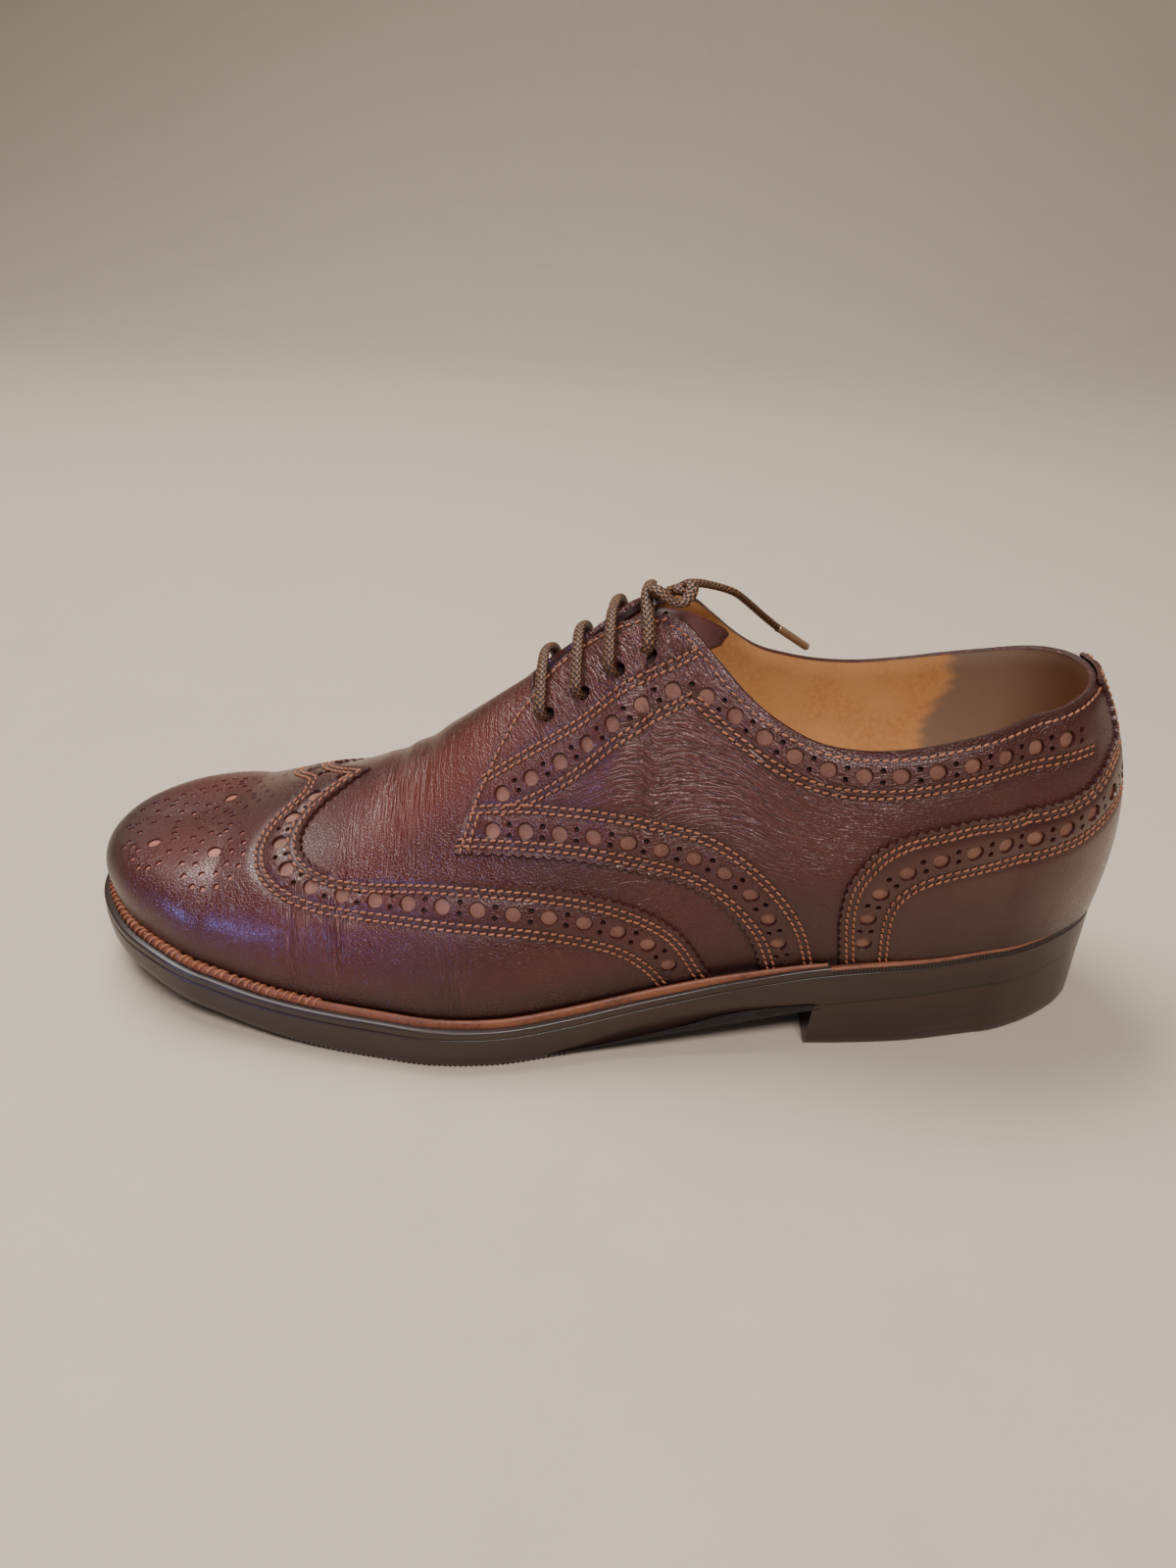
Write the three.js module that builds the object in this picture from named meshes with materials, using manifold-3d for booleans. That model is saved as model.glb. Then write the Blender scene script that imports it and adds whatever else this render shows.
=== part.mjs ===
// Full brogue derby, left shoe: sole, welt, hollow upper with its overlays, tongue, insole and lace.
// Millimetres, +Z up, the toe towards -X, the outer side of the foot towards -Y.
import * as THREE from 'three';
import { mergeVertices } from 'three/addons/utils/BufferGeometryUtils.js';
import Module from 'manifold-3d';

const wasm = await Module();
wasm.setup();

// Driving sizes of the last
const length = 308;
const ballWidth = 108;
const instepHeight = 122;

// Sole and heel
const soleEdge = 13.3;
const toeLift = 10.7;
const heelLift = 21.2;
const toeSpring = 15.8;
const breastHeight = 15;
const weltThickness = 2.7;
const topLiftThickness = 6;
const heelLength = 88;
const breastPlace = length - heelLength;
const breastSlant = 5;
const heelInset = 0.3;
const heelSeatInset = 0.5;
const liftGroove = 0.5;
const treadBevel = 1.4;
const treadBevelHeight = 1.3;
const edgeBevel = 0.2;
const topLiftBevel = 1;
const grooveWidth = 2.4;
const grooveDepth = 1.3;
const groovePitch = 8.5;
const grooveFirst = 0.227 * length;
const grooveLast = 0.481 * length;

// Welt and rand
const weltSetback = 0.4;
const beadHeight = 2.2;
const beadWidth = 2.1;
const beadFade = 40;
const weltBevel = 0.6;
const weltInner = 9.8;
const weltEndPlace = breastPlace + 4;

// Upper, insole and tongue
const wall = 2;
const capStep = 1.1;
const counterStep = 1.1;
const insoleRise = 4;
const tongueThickness = 1.8;
const tongueHalf = 0.2;
const tongueStart = 0.403 * length;
const tongueEnd = 0.607 * length;
const tongueTaper = 0.006;
const tongueRise = 0.1;
const tongueBend = 0.018;
const clearance = 0.3;
const footGap = 0.55;
const tongueGap = 0.9;

// Lace
const laceDiameter = 3.4;
const eyeletDiameter = 4.2;
const barReach = 0.21;
const barBow = 1.2;
const knotSize = 10;
const knotLength = 1.1;
const knotHeight = 0.62;
const agletDiameter = 2.6;

// Half widths of the sole's edge, as shares of ballWidth, along the length
const outline = {
  columns: ['at', 'lateral', 'medial'],
  rows: [
    [0.146, 0.444, 0.424],
    [0.195, 0.480, 0.449],
    [0.260, 0.514, 0.468],
    [0.308, 0.532, 0.463],
    [0.357, 0.548, 0.449],
    [0.422, 0.534, 0.407],
    [0.487, 0.487, 0.352],
    [0.552, 0.438, 0.310],
    [0.617, 0.403, 0.292],
    [0.682, 0.389, 0.292],
    [0.747, 0.375, 0.306],
    [0.812, 0.351, 0.319],
    [0.883, 0.302, 0.315],
  ],
};

// Rounded ends of the sole: reach from the end's pole, by angle from the side to the tip,
// as a share of the pole's distance from the tip and of the end's half width
const toeReach = {
  columns: ['angle', 'lateral', 'medial'],
  rows: [
    [0, 1.064, 1.018],
    [27, 0.982, 0.969],
    [43, 0.976, 0.976],
    [57, 0.978, 0.984],
    [70, 0.993, 0.998],
    [90, 1, 1],
  ],
};
const heelReach = {
  columns: ['angle', 'lateral', 'medial'],
  rows: [
    [0, 0.906, 0.944],
    [25, 0.850, 0.955],
    [48, 0.872, 0.985],
    [64, 0.934, 1.000],
    [75, 0.981, 1.000],
    [90, 1, 1],
  ],
};

// Line of the sole's upper edge: rise over soleEdge, as shares of toeLift and heelLift
const seatLine = {
  columns: ['at', 'toe', 'heel'],
  rows: [
    [0, 1, 0],
    [0.081, 0.738, 0],
    [0.195, 0.215, 0],
    [0.325, 0, 0],
    [0.455, 0, 0],
    [0.584, 0, 0.269],
    [0.727, 0, 0.717],
    [0.844, 0, 0.830],
    [1, 0, 1],
  ],
};

// Underside of the outsole: shares of toeSpring and breastHeight
const tread = {
  columns: ['at', 'toe', 'heel'],
  rows: [
    [0, 1, 0],
    [0.065, 0.734, 0],
    [0.146, 0.405, 0],
    [0.244, 0.095, 0],
    [0.341, 0, 0],
    [0.422, 0, 0],
    [0.487, 0, 0.080],
    [0.568, 0, 0.280],
    [0.649, 0, 0.780],
    [0.727, 0, 1],
    [1, 0, 1.400],
  ],
};

// How far the upper's foot stands in from the sole's edge, in shares of ballWidth
const featherInset = {
  columns: ['at', 'inset'],
  rows: [
    [0, 0.057],
    [0.325, 0.056],
    [0.552, 0.050],
    [0.727, 0.040],
    [0.883, 0.028],
    [1, 0.021],
  ],
};

// Ridge of the vamp and instep: place across and height, shares of ballWidth and instepHeight
const ridge = {
  columns: ['at', 'across', 'height'],
  rows: [
    [0.146, 0, 0.375],
    [0.195, 0.009, 0.428],
    [0.260, 0.023, 0.484],
    [0.325, 0.032, 0.564],
    [0.373, 0.032, 0.658],
    [0.422, 0.028, 0.754],
    [0.487, 0.014, 0.885],
    [0.545, 0, 1],
  ],
};

// Topline along both sides: place, width and height, shares of length, ballWidth and instepHeight
const topline = {
  columns: ['at', 'lateralAt', 'lateral', 'lateralHeight', 'medialAt', 'medial', 'medialHeight'],
  rows: [
    [0.545, 0.545, 0, 1.000, 0.545, 0, 1.000],
    [0.555, 0.557, 0.069, 0.995, 0.562, 0.069, 0.995],
    [0.578, 0.577, 0.111, 0.980, 0.584, 0.111, 0.967],
    [0.601, 0.602, 0.157, 0.922, 0.604, 0.148, 0.918],
    [0.627, 0.626, 0.208, 0.869, 0.627, 0.185, 0.861],
    [0.649, 0.644, 0.241, 0.839, 0.649, 0.222, 0.816],
    [0.685, 0.685, 0.278, 0.789, 0.685, 0.259, 0.779],
    [0.724, 0.723, 0.296, 0.776, 0.721, 0.287, 0.758],
    [0.763, 0.761, 0.306, 0.785, 0.760, 0.306, 0.752],
    [0.802, 0.800, 0.296, 0.802, 0.802, 0.306, 0.766],
    [0.841, 0.840, 0.269, 0.823, 0.841, 0.278, 0.795],
    [0.883, 0.881, 0.213, 0.848, 0.883, 0.227, 0.832],
  ],
};

// Topline round the heel by angle: reach as shares of ballWidth, height as a share of instepHeight
const heelRim = {
  columns: ['angle', 'lateral', 'medial', 'lateralHeight', 'medialHeight'],
  rows: [
    [0, 0.213, 0.227, 0.848, 0.832],
    [30, 0.190, 0.199, 0.865, 0.861],
    [60, 0.176, 0.180, 0.877, 0.877],
    [90, 0.174, 0.174, 0.881, 0.881],
  ],
};

// Side profile of the last from its top to its foot: the slope down at the top and the lean
// out at the foot in degrees, each with the pull of that end as a share of instepHeight
const sideProfile = {
  columns: ['at', 'slopeL', 'pullL', 'leanL', 'liftL', 'slopeM', 'pullM', 'leanM', 'liftM'],
  rows: [
    [0.146, 0, 0.172, 14, 0.197, 0, 0.172, 16, 0.197],
    [0.227, 0, 0.172, 14, 0.213, 0, 0.172, 14, 0.213],
    [0.325, 0, 0.172, 12, 0.213, 0, 0.172, 10, 0.213],
    [0.422, 2, 0.131, 8, 0.246, 2, 0.131, 6, 0.230],
    [0.487, 5, 0.131, 6, 0.279, 5, 0.131, 6, 0.262],
    [0.545, 8, 0.148, 5, 0.295, 8, 0.148, 8, 0.279],
    [0.558, 48, 0.115, 5, 0.311, 50, 0.115, 8, 0.295],
    [0.584, 62, 0.148, 5, 0.295, 64, 0.148, 8, 0.287],
    [0.649, 66, 0.197, 6, 0.246, 72, 0.197, 10, 0.246],
    [0.763, 70, 0.213, 8, 0.213, 78, 0.213, 10, 0.213],
    [0.883, 74, 0.213, 8, 0.213, 74, 0.213, 8, 0.213],
  ],
};
const toeProfile = {
  columns: ['angle', 'slope', 'pull', 'leanL', 'leanM', 'lift'],
  rows: [
    [0, 0, 0.172, 14, 16, 0.197],
    [45, 14, 0.205, 19, 20, 0.205],
    [90, 21, 0.230, 24, 24, 0.205],
  ],
};
const heelProfile = {
  columns: ['angle', 'slope', 'pull', 'lean', 'lift'],
  rows: [
    [0, 74, 0.213, 8, 0.213],
    [45, 65, 0.242, 6.5, 0.205],
    [90, 57, 0.262, 5, 0.197],
  ],
};

// The pattern is drawn flat: along is a share of length, across runs from the ridge or topline
// towards the sole's edge, 1 at the foot of the upper, more behind the throat by the collar's gap
const wingEdge = [
  [0.278, 0.000],
  [0.251, 0.101],
  [0.232, 0.191],
  [0.225, 0.266],
  [0.221, 0.337],
  [0.226, 0.407],
  [0.245, 0.467],
  [0.278, 0.508],
  [0.322, 0.528],
  [0.399, 0.598],
  [0.474, 0.673],
  [0.539, 0.754],
  [0.558, 0.792],
  [0.579, 0.863],
  [0.594, 0.938],
  [0.611, 1.084],
  [0.620, 1.300],
];
const facingEdge = [
  [0.378, 0.508],
  [0.381, 0.482],
  [0.390, 0.392],
  [0.402, 0.317],
  [0.418, 0.226],
  [0.439, 0.146],
  [0.459, 0.075],
  [0.483, 0.045],
  [0.517, 0.080],
  [0.534, 0.106],
  [0.552, 0.118],
  [0.563, 0.060],
];
const quarterFoot = [
  [0.455, 0.588],
  [0.529, 0.673],
  [0.566, 0.718],
  [0.585, 0.763],
  [0.607, 0.841],
  [0.635, 0.963],
  [0.660, 1.130],
  [0.665, 1.400],
];
const counterEdge = [
  [0.738, 1.400],
  [0.734, 1.145],
  [0.728, 0.883],
  [0.731, 0.778],
  [0.740, 0.682],
  [0.753, 0.597],
  [0.775, 0.537],
  [0.800, 0.522],
  [0.831, 0.517],
  [0.869, 0.547],
  [0.919, 0.530],
  [0.953, 0.487],
  [0.981, 0.412],
  [1.002, 0.240],
  [1.008, 0.110],
  [0.990, 0.085],
  [0.900, 0.085],
];
const eyelets = {
  columns: ['at', 'across'],
  rows: [
    [0.458, 0.256],
    [0.490, 0.251],
    [0.520, 0.256],
    [0.546, 0.231],
  ],
};

// Knot, free end and aglet of the lace: shares of length, ballWidth and instepHeight
const knotPlace = [0.5604, -0.0648, 1.0344];
const laceEndRoute = [
  [0.5766, -0.0333, 1.0475],
  [0.5828, -0.0139, 1.0434],
  [0.5974, 0.0278, 1.0262],
  [0.6198, 0.0741, 0.9959],
  [0.6354, 0.1204, 0.9557],
  [0.6526, 0.1667, 0.9082],
  [0.6669, 0.1991, 0.8721],
];
const agletRoute = [
  [0.6685, 0.2028, 0.8680],
  [0.7032, 0.2778, 0.7918],
];

const toePole = 0.146 * length;
const heelPole = 0.883 * length;
const toeHalf = 0.4167 * ballWidth;
const heelHalf = 0.3333 * ballWidth;
const throatPlace = 0.545 * length;
const collarOpenLength = 0.104 * length;
const chartWidth = 100;
const collarGap = 20;
const LATERAL = -1;
const MEDIAL = 1;

// A table's column by name
function column(table, name) {
  const index = table.columns.indexOf(name);
  return table.rows.map((row) => row[index]);
}

// Smooth curve through a table's column, held flat past both ends
function read(table, name, at) {
  const xs = column(table, table.columns[0]);
  const ys = column(table, name);
  const last = xs.length - 1;
  const x = Math.min(Math.max(at, xs[0]), xs[last]);
  let i = 0;
  while (i < last - 1 && x > xs[i + 1]) i += 1;
  const chord = (k) => (ys[k + 1] - ys[k]) / (xs[k + 1] - xs[k]);
  const slope = (k) => {
    if (k === 0) return chord(0);
    if (k === last) return chord(last - 1);
    const before = xs[k] - xs[k - 1];
    const after = xs[k + 1] - xs[k];
    return (chord(k - 1) * after + chord(k) * before) / (before + after);
  };
  const step = xs[i + 1] - xs[i];
  const t = (x - xs[i]) / step;
  const t2 = t * t;
  const t3 = t2 * t;
  return (2 * t3 - 3 * t2 + 1) * ys[i] + (t3 - 2 * t2 + t) * step * slope(i)
    + (3 * t2 - 2 * t3) * ys[i + 1] + (t3 - t2) * step * slope(i + 1);
}

const radians = (degrees) => degrees * Math.PI / 180;
const sideName = (side) => (side < 0 ? 'lateral' : 'medial');
const sideLetter = (side) => (side < 0 ? 'L' : 'M');

// Height of the sole's upper edge and of its underside at a place along the shoe
function seatHeight(x) {
  const at = x / length;
  return soleEdge + toeLift * read(seatLine, 'toe', at) + heelLift * read(seatLine, 'heel', at);
}
function treadHeight(x) {
  const at = x / length;
  return Math.max(0, toeSpring * read(tread, 'toe', at) + breastHeight * read(tread, 'heel', at));
}

const footInset = (x) => ballWidth * read(featherInset, 'inset', x / length);

// A station is a place on the shoe's edge: along one side, or by angle round the toe or the heel
function edgePoint(zone, t, side) {
  if (zone === 'side') {
    return new THREE.Vector2(t, side * ballWidth * read(outline, sideName(side), t / length));
  }
  const a = radians(t);
  if (zone === 'toe') {
    const reach = read(toeReach, sideName(side), t);
    return new THREE.Vector2(toePole * (1 - reach * Math.sin(a)), side * toeHalf * reach * Math.cos(a));
  }
  const reach = read(heelReach, sideName(side), t);
  const behind = length - heelPole;
  return new THREE.Vector2(heelPole + behind * reach * Math.sin(a), side * heelHalf * reach * Math.cos(a));
}

// Unit vector out of the shoe across its edge
function outward(zone, t, side) {
  const step = 0.5;
  const low = zone === 'side' ? toePole : 0;
  const high = zone === 'side' ? heelPole : 90;
  const along = edgePoint(zone, Math.min(t + step, high), side)
    .sub(edgePoint(zone, Math.max(t - step, low), side));
  const normal = new THREE.Vector2(along.y, -along.x).normalize();
  const middle = new THREE.Vector2(zone === 'toe' ? toePole : heelPole, 0);
  const here = edgePoint(zone, t, side);
  if (zone === 'side') middle.x = here.x;
  return normal.dot(here.clone().sub(middle)) < 0 ? normal.negate() : normal;
}

// Point of the sole's plan, in from its edge
function planPoint(station, inset) {
  const p = edgePoint(station.zone, station.t, station.side);
  const n = outward(station.zone, station.t, station.side);
  return p.addScaledVector(n, -inset);
}

function topPoint(zone, t, side) {
  if (zone === 'toe') {
    return new THREE.Vector3(toePole, 0, instepHeight * read(ridge, 'height', toePole / length));
  }
  if (zone === 'side') {
    const at = t / length;
    if (t <= throatPlace) {
      const y = ballWidth * read(ridge, 'across', at);
      return new THREE.Vector3(t, y, instepHeight * read(ridge, 'height', at));
    }
    const name = sideName(side);
    return new THREE.Vector3(
      length * read(topline, `${name}At`, at),
      side * ballWidth * read(topline, name, at),
      instepHeight * read(topline, `${name}Height`, at),
    );
  }
  const a = radians(t);
  const reach = ballWidth * read(heelRim, sideName(side), t);
  const z = instepHeight * read(heelRim, `${sideName(side)}Height`, t);
  return new THREE.Vector3(heelPole + reach * Math.sin(a), side * reach * Math.cos(a), z);
}

function profileEnds(zone, t, side) {
  const letter = sideLetter(side);
  if (zone === 'side') {
    const at = t / length;
    return ['slope', 'pull', 'lean', 'lift'].map((name) => read(sideProfile, name + letter, at));
  }
  if (zone === 'toe') {
    return ['slope', 'pull', `lean${letter}`, 'lift'].map((name) => read(toeProfile, name, t));
  }
  return ['slope', 'pull', 'lean', 'lift'].map((name) => read(heelProfile, name, t));
}

// Point of the last's surface: v is 0 on the ridge or topline and 1 at the foot of the upper
function lastPoint(zone, t, side, v) {
  const top = topPoint(zone, t, side);
  const edge = edgePoint(zone, t, side);
  const out = outward(zone, t, side);
  const seat = seatHeight(edge.x) + footGap;
  edge.addScaledVector(out, -footInset(edge.x));
  const foot = new THREE.Vector3(edge.x, edge.y, seat);
  const [slope, pull, lean, lift] = profileEnds(zone, t, side);
  const a = radians(t);
  const across = new THREE.Vector2(0, side);
  if (zone === 'toe') across.set(-Math.sin(a), side * Math.cos(a));
  if (zone === 'heel') across.set(Math.sin(a), side * Math.cos(a));
  const fall = radians(slope);
  const tip = radians(lean);
  const upperPull = instepHeight * pull;
  const lowerPull = instepHeight * lift;
  const nearTop = new THREE.Vector3(across.x * Math.cos(fall), across.y * Math.cos(fall), -Math.sin(fall))
    .multiplyScalar(upperPull).add(top);
  const nearFoot = new THREE.Vector3(out.x * Math.sin(tip), out.y * Math.sin(tip), Math.cos(tip))
    .multiplyScalar(lowerPull).add(foot);
  return new THREE.CubicBezierCurve3(top, nearTop, nearFoot, foot).getPoint(v);
}

// Width of the collar's gap in the flat pattern
function gapAt(along) {
  const t = THREE.MathUtils.clamp((along - throatPlace) / collarOpenLength, 0, 1);
  return collarGap * t * t * (3 - 2 * t);
}

// A station and v from a point of the flat pattern
function stationAt(a, b) {
  const side = b > 0 ? MEDIAL : LATERAL;
  if (a < toePole) {
    const t = THREE.MathUtils.radToDeg(Math.atan2(toePole - a, Math.abs(b)));
    return { zone: 'toe', t, side, v: Math.hypot(toePole - a, b) / chartWidth };
  }
  if (a > heelPole) {
    const t = THREE.MathUtils.radToDeg(Math.atan2(a - heelPole, Math.abs(b)));
    return { zone: 'heel', t, side, v: (Math.hypot(a - heelPole, b) - collarGap) / chartWidth };
  }
  return { zone: 'side', t: a, side, v: (Math.abs(b) - gapAt(a)) / chartWidth };
}

function surfaceNormal(s) {
  const step = s.zone === 'side' ? 1 : 2;
  const low = s.zone === 'side' ? toePole : 0;
  const high = s.zone === 'side' ? heelPole : 90;
  const v = Math.max(s.v, s.zone === 'toe' ? 0.03 : 0);
  const at = (t, w) => lastPoint(s.zone, THREE.MathUtils.clamp(t, low, high), s.side, w);
  const along = at(s.t + step, v).sub(at(s.t - step, v));
  const down = at(s.t, Math.min(v + 0.01, 1)).sub(at(s.t, Math.max(v - 0.01, 0)));
  const normal = along.cross(down).normalize();
  const middle = new THREE.Vector3(THREE.MathUtils.clamp(s.t, 60, 260), 0, soleEdge);
  if (s.zone !== 'side') middle.x = s.zone === 'toe' ? toePole : heelPole;
  const out = at(s.t, v).sub(middle);
  if (s.zone === 'side') out.x = 0;
  return normal.dot(out) < 0 ? normal.negate() : normal;
}

// The last's surface and the height over it, from a point of the flat pattern
function lastSurface(a, b, h) {
  const s = stationAt(a, b);
  s.v = THREE.MathUtils.clamp(s.v, 0, 1);
  const point = lastPoint(s.zone, s.t, s.side, s.v);
  const normal = surfaceNormal(s);
  if (Math.abs(b) < 0.01 && s.zone === 'side') {
    normal.add(surfaceNormal({ ...s, side: -s.side })).normalize();
  }
  return point.addScaledVector(normal, h);
}

// Solids
const weldDistance = 1e-4;
function geometryOf(points, triangles) {
  const geometry = new THREE.BufferGeometry();
  geometry.setAttribute('position', new THREE.Float32BufferAttribute(points.flat(), 3));
  geometry.setIndex(triangles.flat());
  return geometry;
}

function solidOf(geometry) {
  const bare = geometry.clone();
  bare.deleteAttribute('normal');
  bare.deleteAttribute('uv');
  const merged = mergeVertices(bare, weldDistance);
  return new wasm.Manifold(new wasm.Mesh({
    numProp: 3,
    vertProperties: new Float32Array(merged.attributes.position.array),
    triVerts: new Uint32Array(merged.index.array),
  }));
}

function geometryFrom(solid, shape = (x, y, z) => [x, y, z]) {
  const mesh = solid.getMesh();
  const points = [];
  for (let i = 0; i < mesh.vertProperties.length; i += mesh.numProp) {
    points.push(shape(mesh.vertProperties[i], mesh.vertProperties[i + 1], mesh.vertProperties[i + 2]));
  }
  const triangles = [];
  for (let i = 0; i < mesh.triVerts.length; i += 3) {
    triangles.push([mesh.triVerts[i], mesh.triVerts[i + 1], mesh.triVerts[i + 2]]);
  }
  return geometryOf(points, triangles);
}

// Stations once round the shoe's edge: toe tip, outer side, heel tip, inner side
const toeSteps = 9;
const sideSteps = 26;
const heelSteps = 8;
function sideStations(side) {
  const list = [];
  for (let i = 1; i <= toeSteps; i += 1) list.push({ zone: 'toe', t: 90 - 90 * i / toeSteps, side });
  for (let i = 1; i < sideSteps; i += 1) {
    list.push({ zone: 'side', t: toePole + (heelPole - toePole) * i / sideSteps, side });
  }
  for (let i = 0; i < heelSteps; i += 1) list.push({ zone: 'heel', t: 90 * i / heelSteps, side });
  return list;
}
const loopStations = [
  { zone: 'toe', t: 90, side: LATERAL },
  ...sideStations(LATERAL),
  { zone: 'heel', t: 90, side: LATERAL },
  ...sideStations(MEDIAL).reverse(),
];

// A solid of loops stacked upward: each loop has its inset and height along the shoe
function stack(loops) {
  const n = loopStations.length;
  const points = loops.flatMap((loop) => loopStations.map((station) => {
    const edge = edgePoint(station.zone, station.t, station.side);
    const p = planPoint(station, loop.inset(edge.x));
    return [p.x, p.y, loop.height(edge.x)];
  }));
  const triangles = [];
  for (let k = 0; k < loops.length - 1; k += 1) {
    for (let i = 0; i < n; i += 1) {
      const j = (i + 1) % n;
      const [a, b, c, d] = [k * n + i, k * n + j, (k + 1) * n + j, (k + 1) * n + i];
      triangles.push([a, b, c], [a, c, d]);
    }
  }
  const half = n / 2;
  const top = (loops.length - 1) * n;
  for (let i = 0; i < half; i += 1) {
    const [a, b] = [i, i + 1];
    const [c, d] = [(n - i - 1) % n, (n - i) % n];
    if (b !== c) {
      triangles.push([a, c, b]);
      triangles.push([top + a, top + b, top + c]);
    }
    if (a !== d) {
      triangles.push([a, d, c]);
      triangles.push([top + a, top + c, top + d]);
    }
  }
  return solidOf(geometryOf(points, triangles));
}

// A strip of one section, swept along some of the stations, with closed ends
function strip(stations, section) {
  const n = section(stations[0]).length;
  const points = stations.flatMap((station) => section(station).map(([inset, rise]) => {
    const edge = edgePoint(station.zone, station.t, station.side);
    const p = planPoint(station, inset);
    return [p.x, p.y, seatHeight(edge.x) + rise];
  }));
  const triangles = [];
  for (let k = 0; k < stations.length - 1; k += 1) {
    for (let i = 0; i < n; i += 1) {
      const j = (i + 1) % n;
      const [a, b, c, d] = [k * n + i, k * n + j, (k + 1) * n + j, (k + 1) * n + i];
      triangles.push([a, c, b], [a, d, c]);
    }
  }
  const contour = section(stations[0]).map(([x, y]) => new THREE.Vector2(x, y));
  const turn = Math.sign(THREE.ShapeUtils.area(contour));
  const end = (stations.length - 1) * n;
  for (const face of THREE.ShapeUtils.triangulateShape(contour, [])) {
    const same = Math.sign(THREE.ShapeUtils.area(face.map((i) => contour[i]))) === turn;
    const [a, b, c] = same ? face : [face[0], face[2], face[1]];
    triangles.push([a, b, c], [end + a, end + c, end + b]);
  }
  return turnedOut(points, triangles);
}

// Faces turned to point out of a closed mesh
function turnedOut(points, triangles) {
  let volume = 0;
  for (const [a, b, c] of triangles) {
    const [p, q, r] = [points[a], points[b], points[c]].map((xyz) => new THREE.Vector3(...xyz));
    volume += p.dot(q.cross(r));
  }
  return geometryOf(points, volume < 0 ? triangles.map(([a, b, c]) => [a, c, b]) : triangles);
}

function box(x0, x1, y0, y1, z0, z1) {
  const geometry = new THREE.BoxGeometry(x1 - x0, y1 - y0, z1 - z0);
  geometry.translate((x0 + x1) / 2, (y0 + y1) / 2, (z0 + z1) / 2);
  return geometry;
}

// Outsole with its bottom bevel, side and cross lugs
function outsoleSolid() {
  const topFace = (x) => seatHeight(x) - weltThickness - clearance;
  let sole = stack([
    { inset: () => treadBevel, height: treadHeight },
    { inset: () => edgeBevel, height: (x) => treadHeight(x) + treadBevelHeight },
    { inset: () => 0, height: (x) => (treadHeight(x) + topFace(x)) / 2 },
    { inset: () => edgeBevel, height: topFace },
  ]);
  for (let x = grooveFirst; x <= grooveLast; x += groovePitch) {
    const roof = treadHeight(x) + grooveDepth;
    sole = sole.subtract(solidOf(box(x, x + grooveWidth, -ballWidth, ballWidth, -ballWidth, roof)));
  }
  return sole;
}

// The part of a stack behind the heel's slanted front
function behindBreast(solid) {
  const front = box(-length, 0, -ballWidth, ballWidth, -ballWidth, ballWidth);
  front.rotateY(radians(-breastSlant));
  front.translate(breastPlace, 0, 0);
  return solid.subtract(solidOf(front));
}

function heelStackSolid() {
  const low = topLiftThickness + clearance;
  const roof = (x) => treadHeight(x) - clearance;
  const share = (x, s) => low + (roof(x) - low) * s;
  return behindBreast(stack([
    { inset: () => heelInset + liftGroove, height: () => low },
    { inset: () => heelInset, height: (x) => share(x, 0.12) },
    { inset: () => heelInset, height: (x) => share(x, 0.44) },
    { inset: () => heelInset + liftGroove, height: (x) => share(x, 0.5) },
    { inset: () => heelInset, height: (x) => share(x, 0.56) },
    { inset: () => heelSeatInset, height: (x) => Math.max(share(x, 1), low + 1) },
  ]));
}

function topLiftSolid() {
  return behindBreast(stack([
    { inset: () => heelInset + topLiftBevel, height: () => 0 },
    { inset: () => heelInset, height: () => topLiftBevel },
    { inset: () => heelInset, height: () => topLiftThickness - liftGroove },
    { inset: () => heelInset + liftGroove, height: () => topLiftThickness },
  ]));
}

// Stations of the welt from its outer end round the toe to its inner end, and of the rand behind
const weltSide = (side) => sideStations(side)
  .filter((s) => s.zone === 'toe' || (s.zone === 'side' && s.t < weltEndPlace - 2));
const randSide = (side) => sideStations(side)
  .filter((s) => s.zone === 'heel' || (s.zone === 'side' && s.t > weltEndPlace + 2));
const weltStations = [
  { zone: 'side', t: weltEndPlace, side: LATERAL },
  ...weltSide(LATERAL).reverse(),
  { zone: 'toe', t: 90, side: LATERAL },
  ...weltSide(MEDIAL),
  { zone: 'side', t: weltEndPlace, side: MEDIAL },
];
const randStations = [
  { zone: 'side', t: weltEndPlace + clearance, side: LATERAL },
  ...randSide(LATERAL),
  { zone: 'heel', t: 90, side: LATERAL },
  ...randSide(MEDIAL).reverse(),
  { zone: 'side', t: weltEndPlace + clearance, side: MEDIAL },
];

// The storm bead stands along the upper's foot and fades out towards the heel
function weltSection(station) {
  const x = edgePoint(station.zone, station.t, station.side).x;
  const share = THREE.MathUtils.clamp((weltEndPlace - x) / beadFade, 0, 1);
  const inner = footInset(x) - capStep - 1.5 * clearance;
  const width = beadWidth * (0.6 + 0.4 * share);
  const height = beadHeight * (0.3 + 0.7 * share);
  return [
    [weltSetback, -weltThickness],
    [weltSetback, -weltBevel],
    [weltSetback + weltBevel, 0],
    [inner - width, 0],
    [inner - 0.92 * width, 0.7 * height],
    [inner - 0.7 * width, height],
    [inner - 0.5 * width, 0.9 * height],
    [inner, 0],
    [weltInner, 0],
    [weltInner, -weltThickness],
  ];
}
const randSection = () => [
  [weltSetback, -weltThickness],
  [weltSetback, -weltBevel],
  [weltSetback + weltBevel, 0],
  [weltInner, 0],
  [weltInner, -weltThickness],
];

// Insole with the filler under it, inside the welt and the upper's foot
function insoleSolid() {
  const under = () => weltInner + clearance;
  const over = (x) => footInset(x) + wall + clearance;
  return stack([
    { inset: under, height: (x) => seatHeight(x) - weltThickness },
    { inset: under, height: (x) => seatHeight(x) + clearance },
    { inset: over, height: (x) => seatHeight(x) + 2 * clearance },
    { inset: over, height: (x) => seatHeight(x) + insoleRise },
  ]);
}

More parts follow.
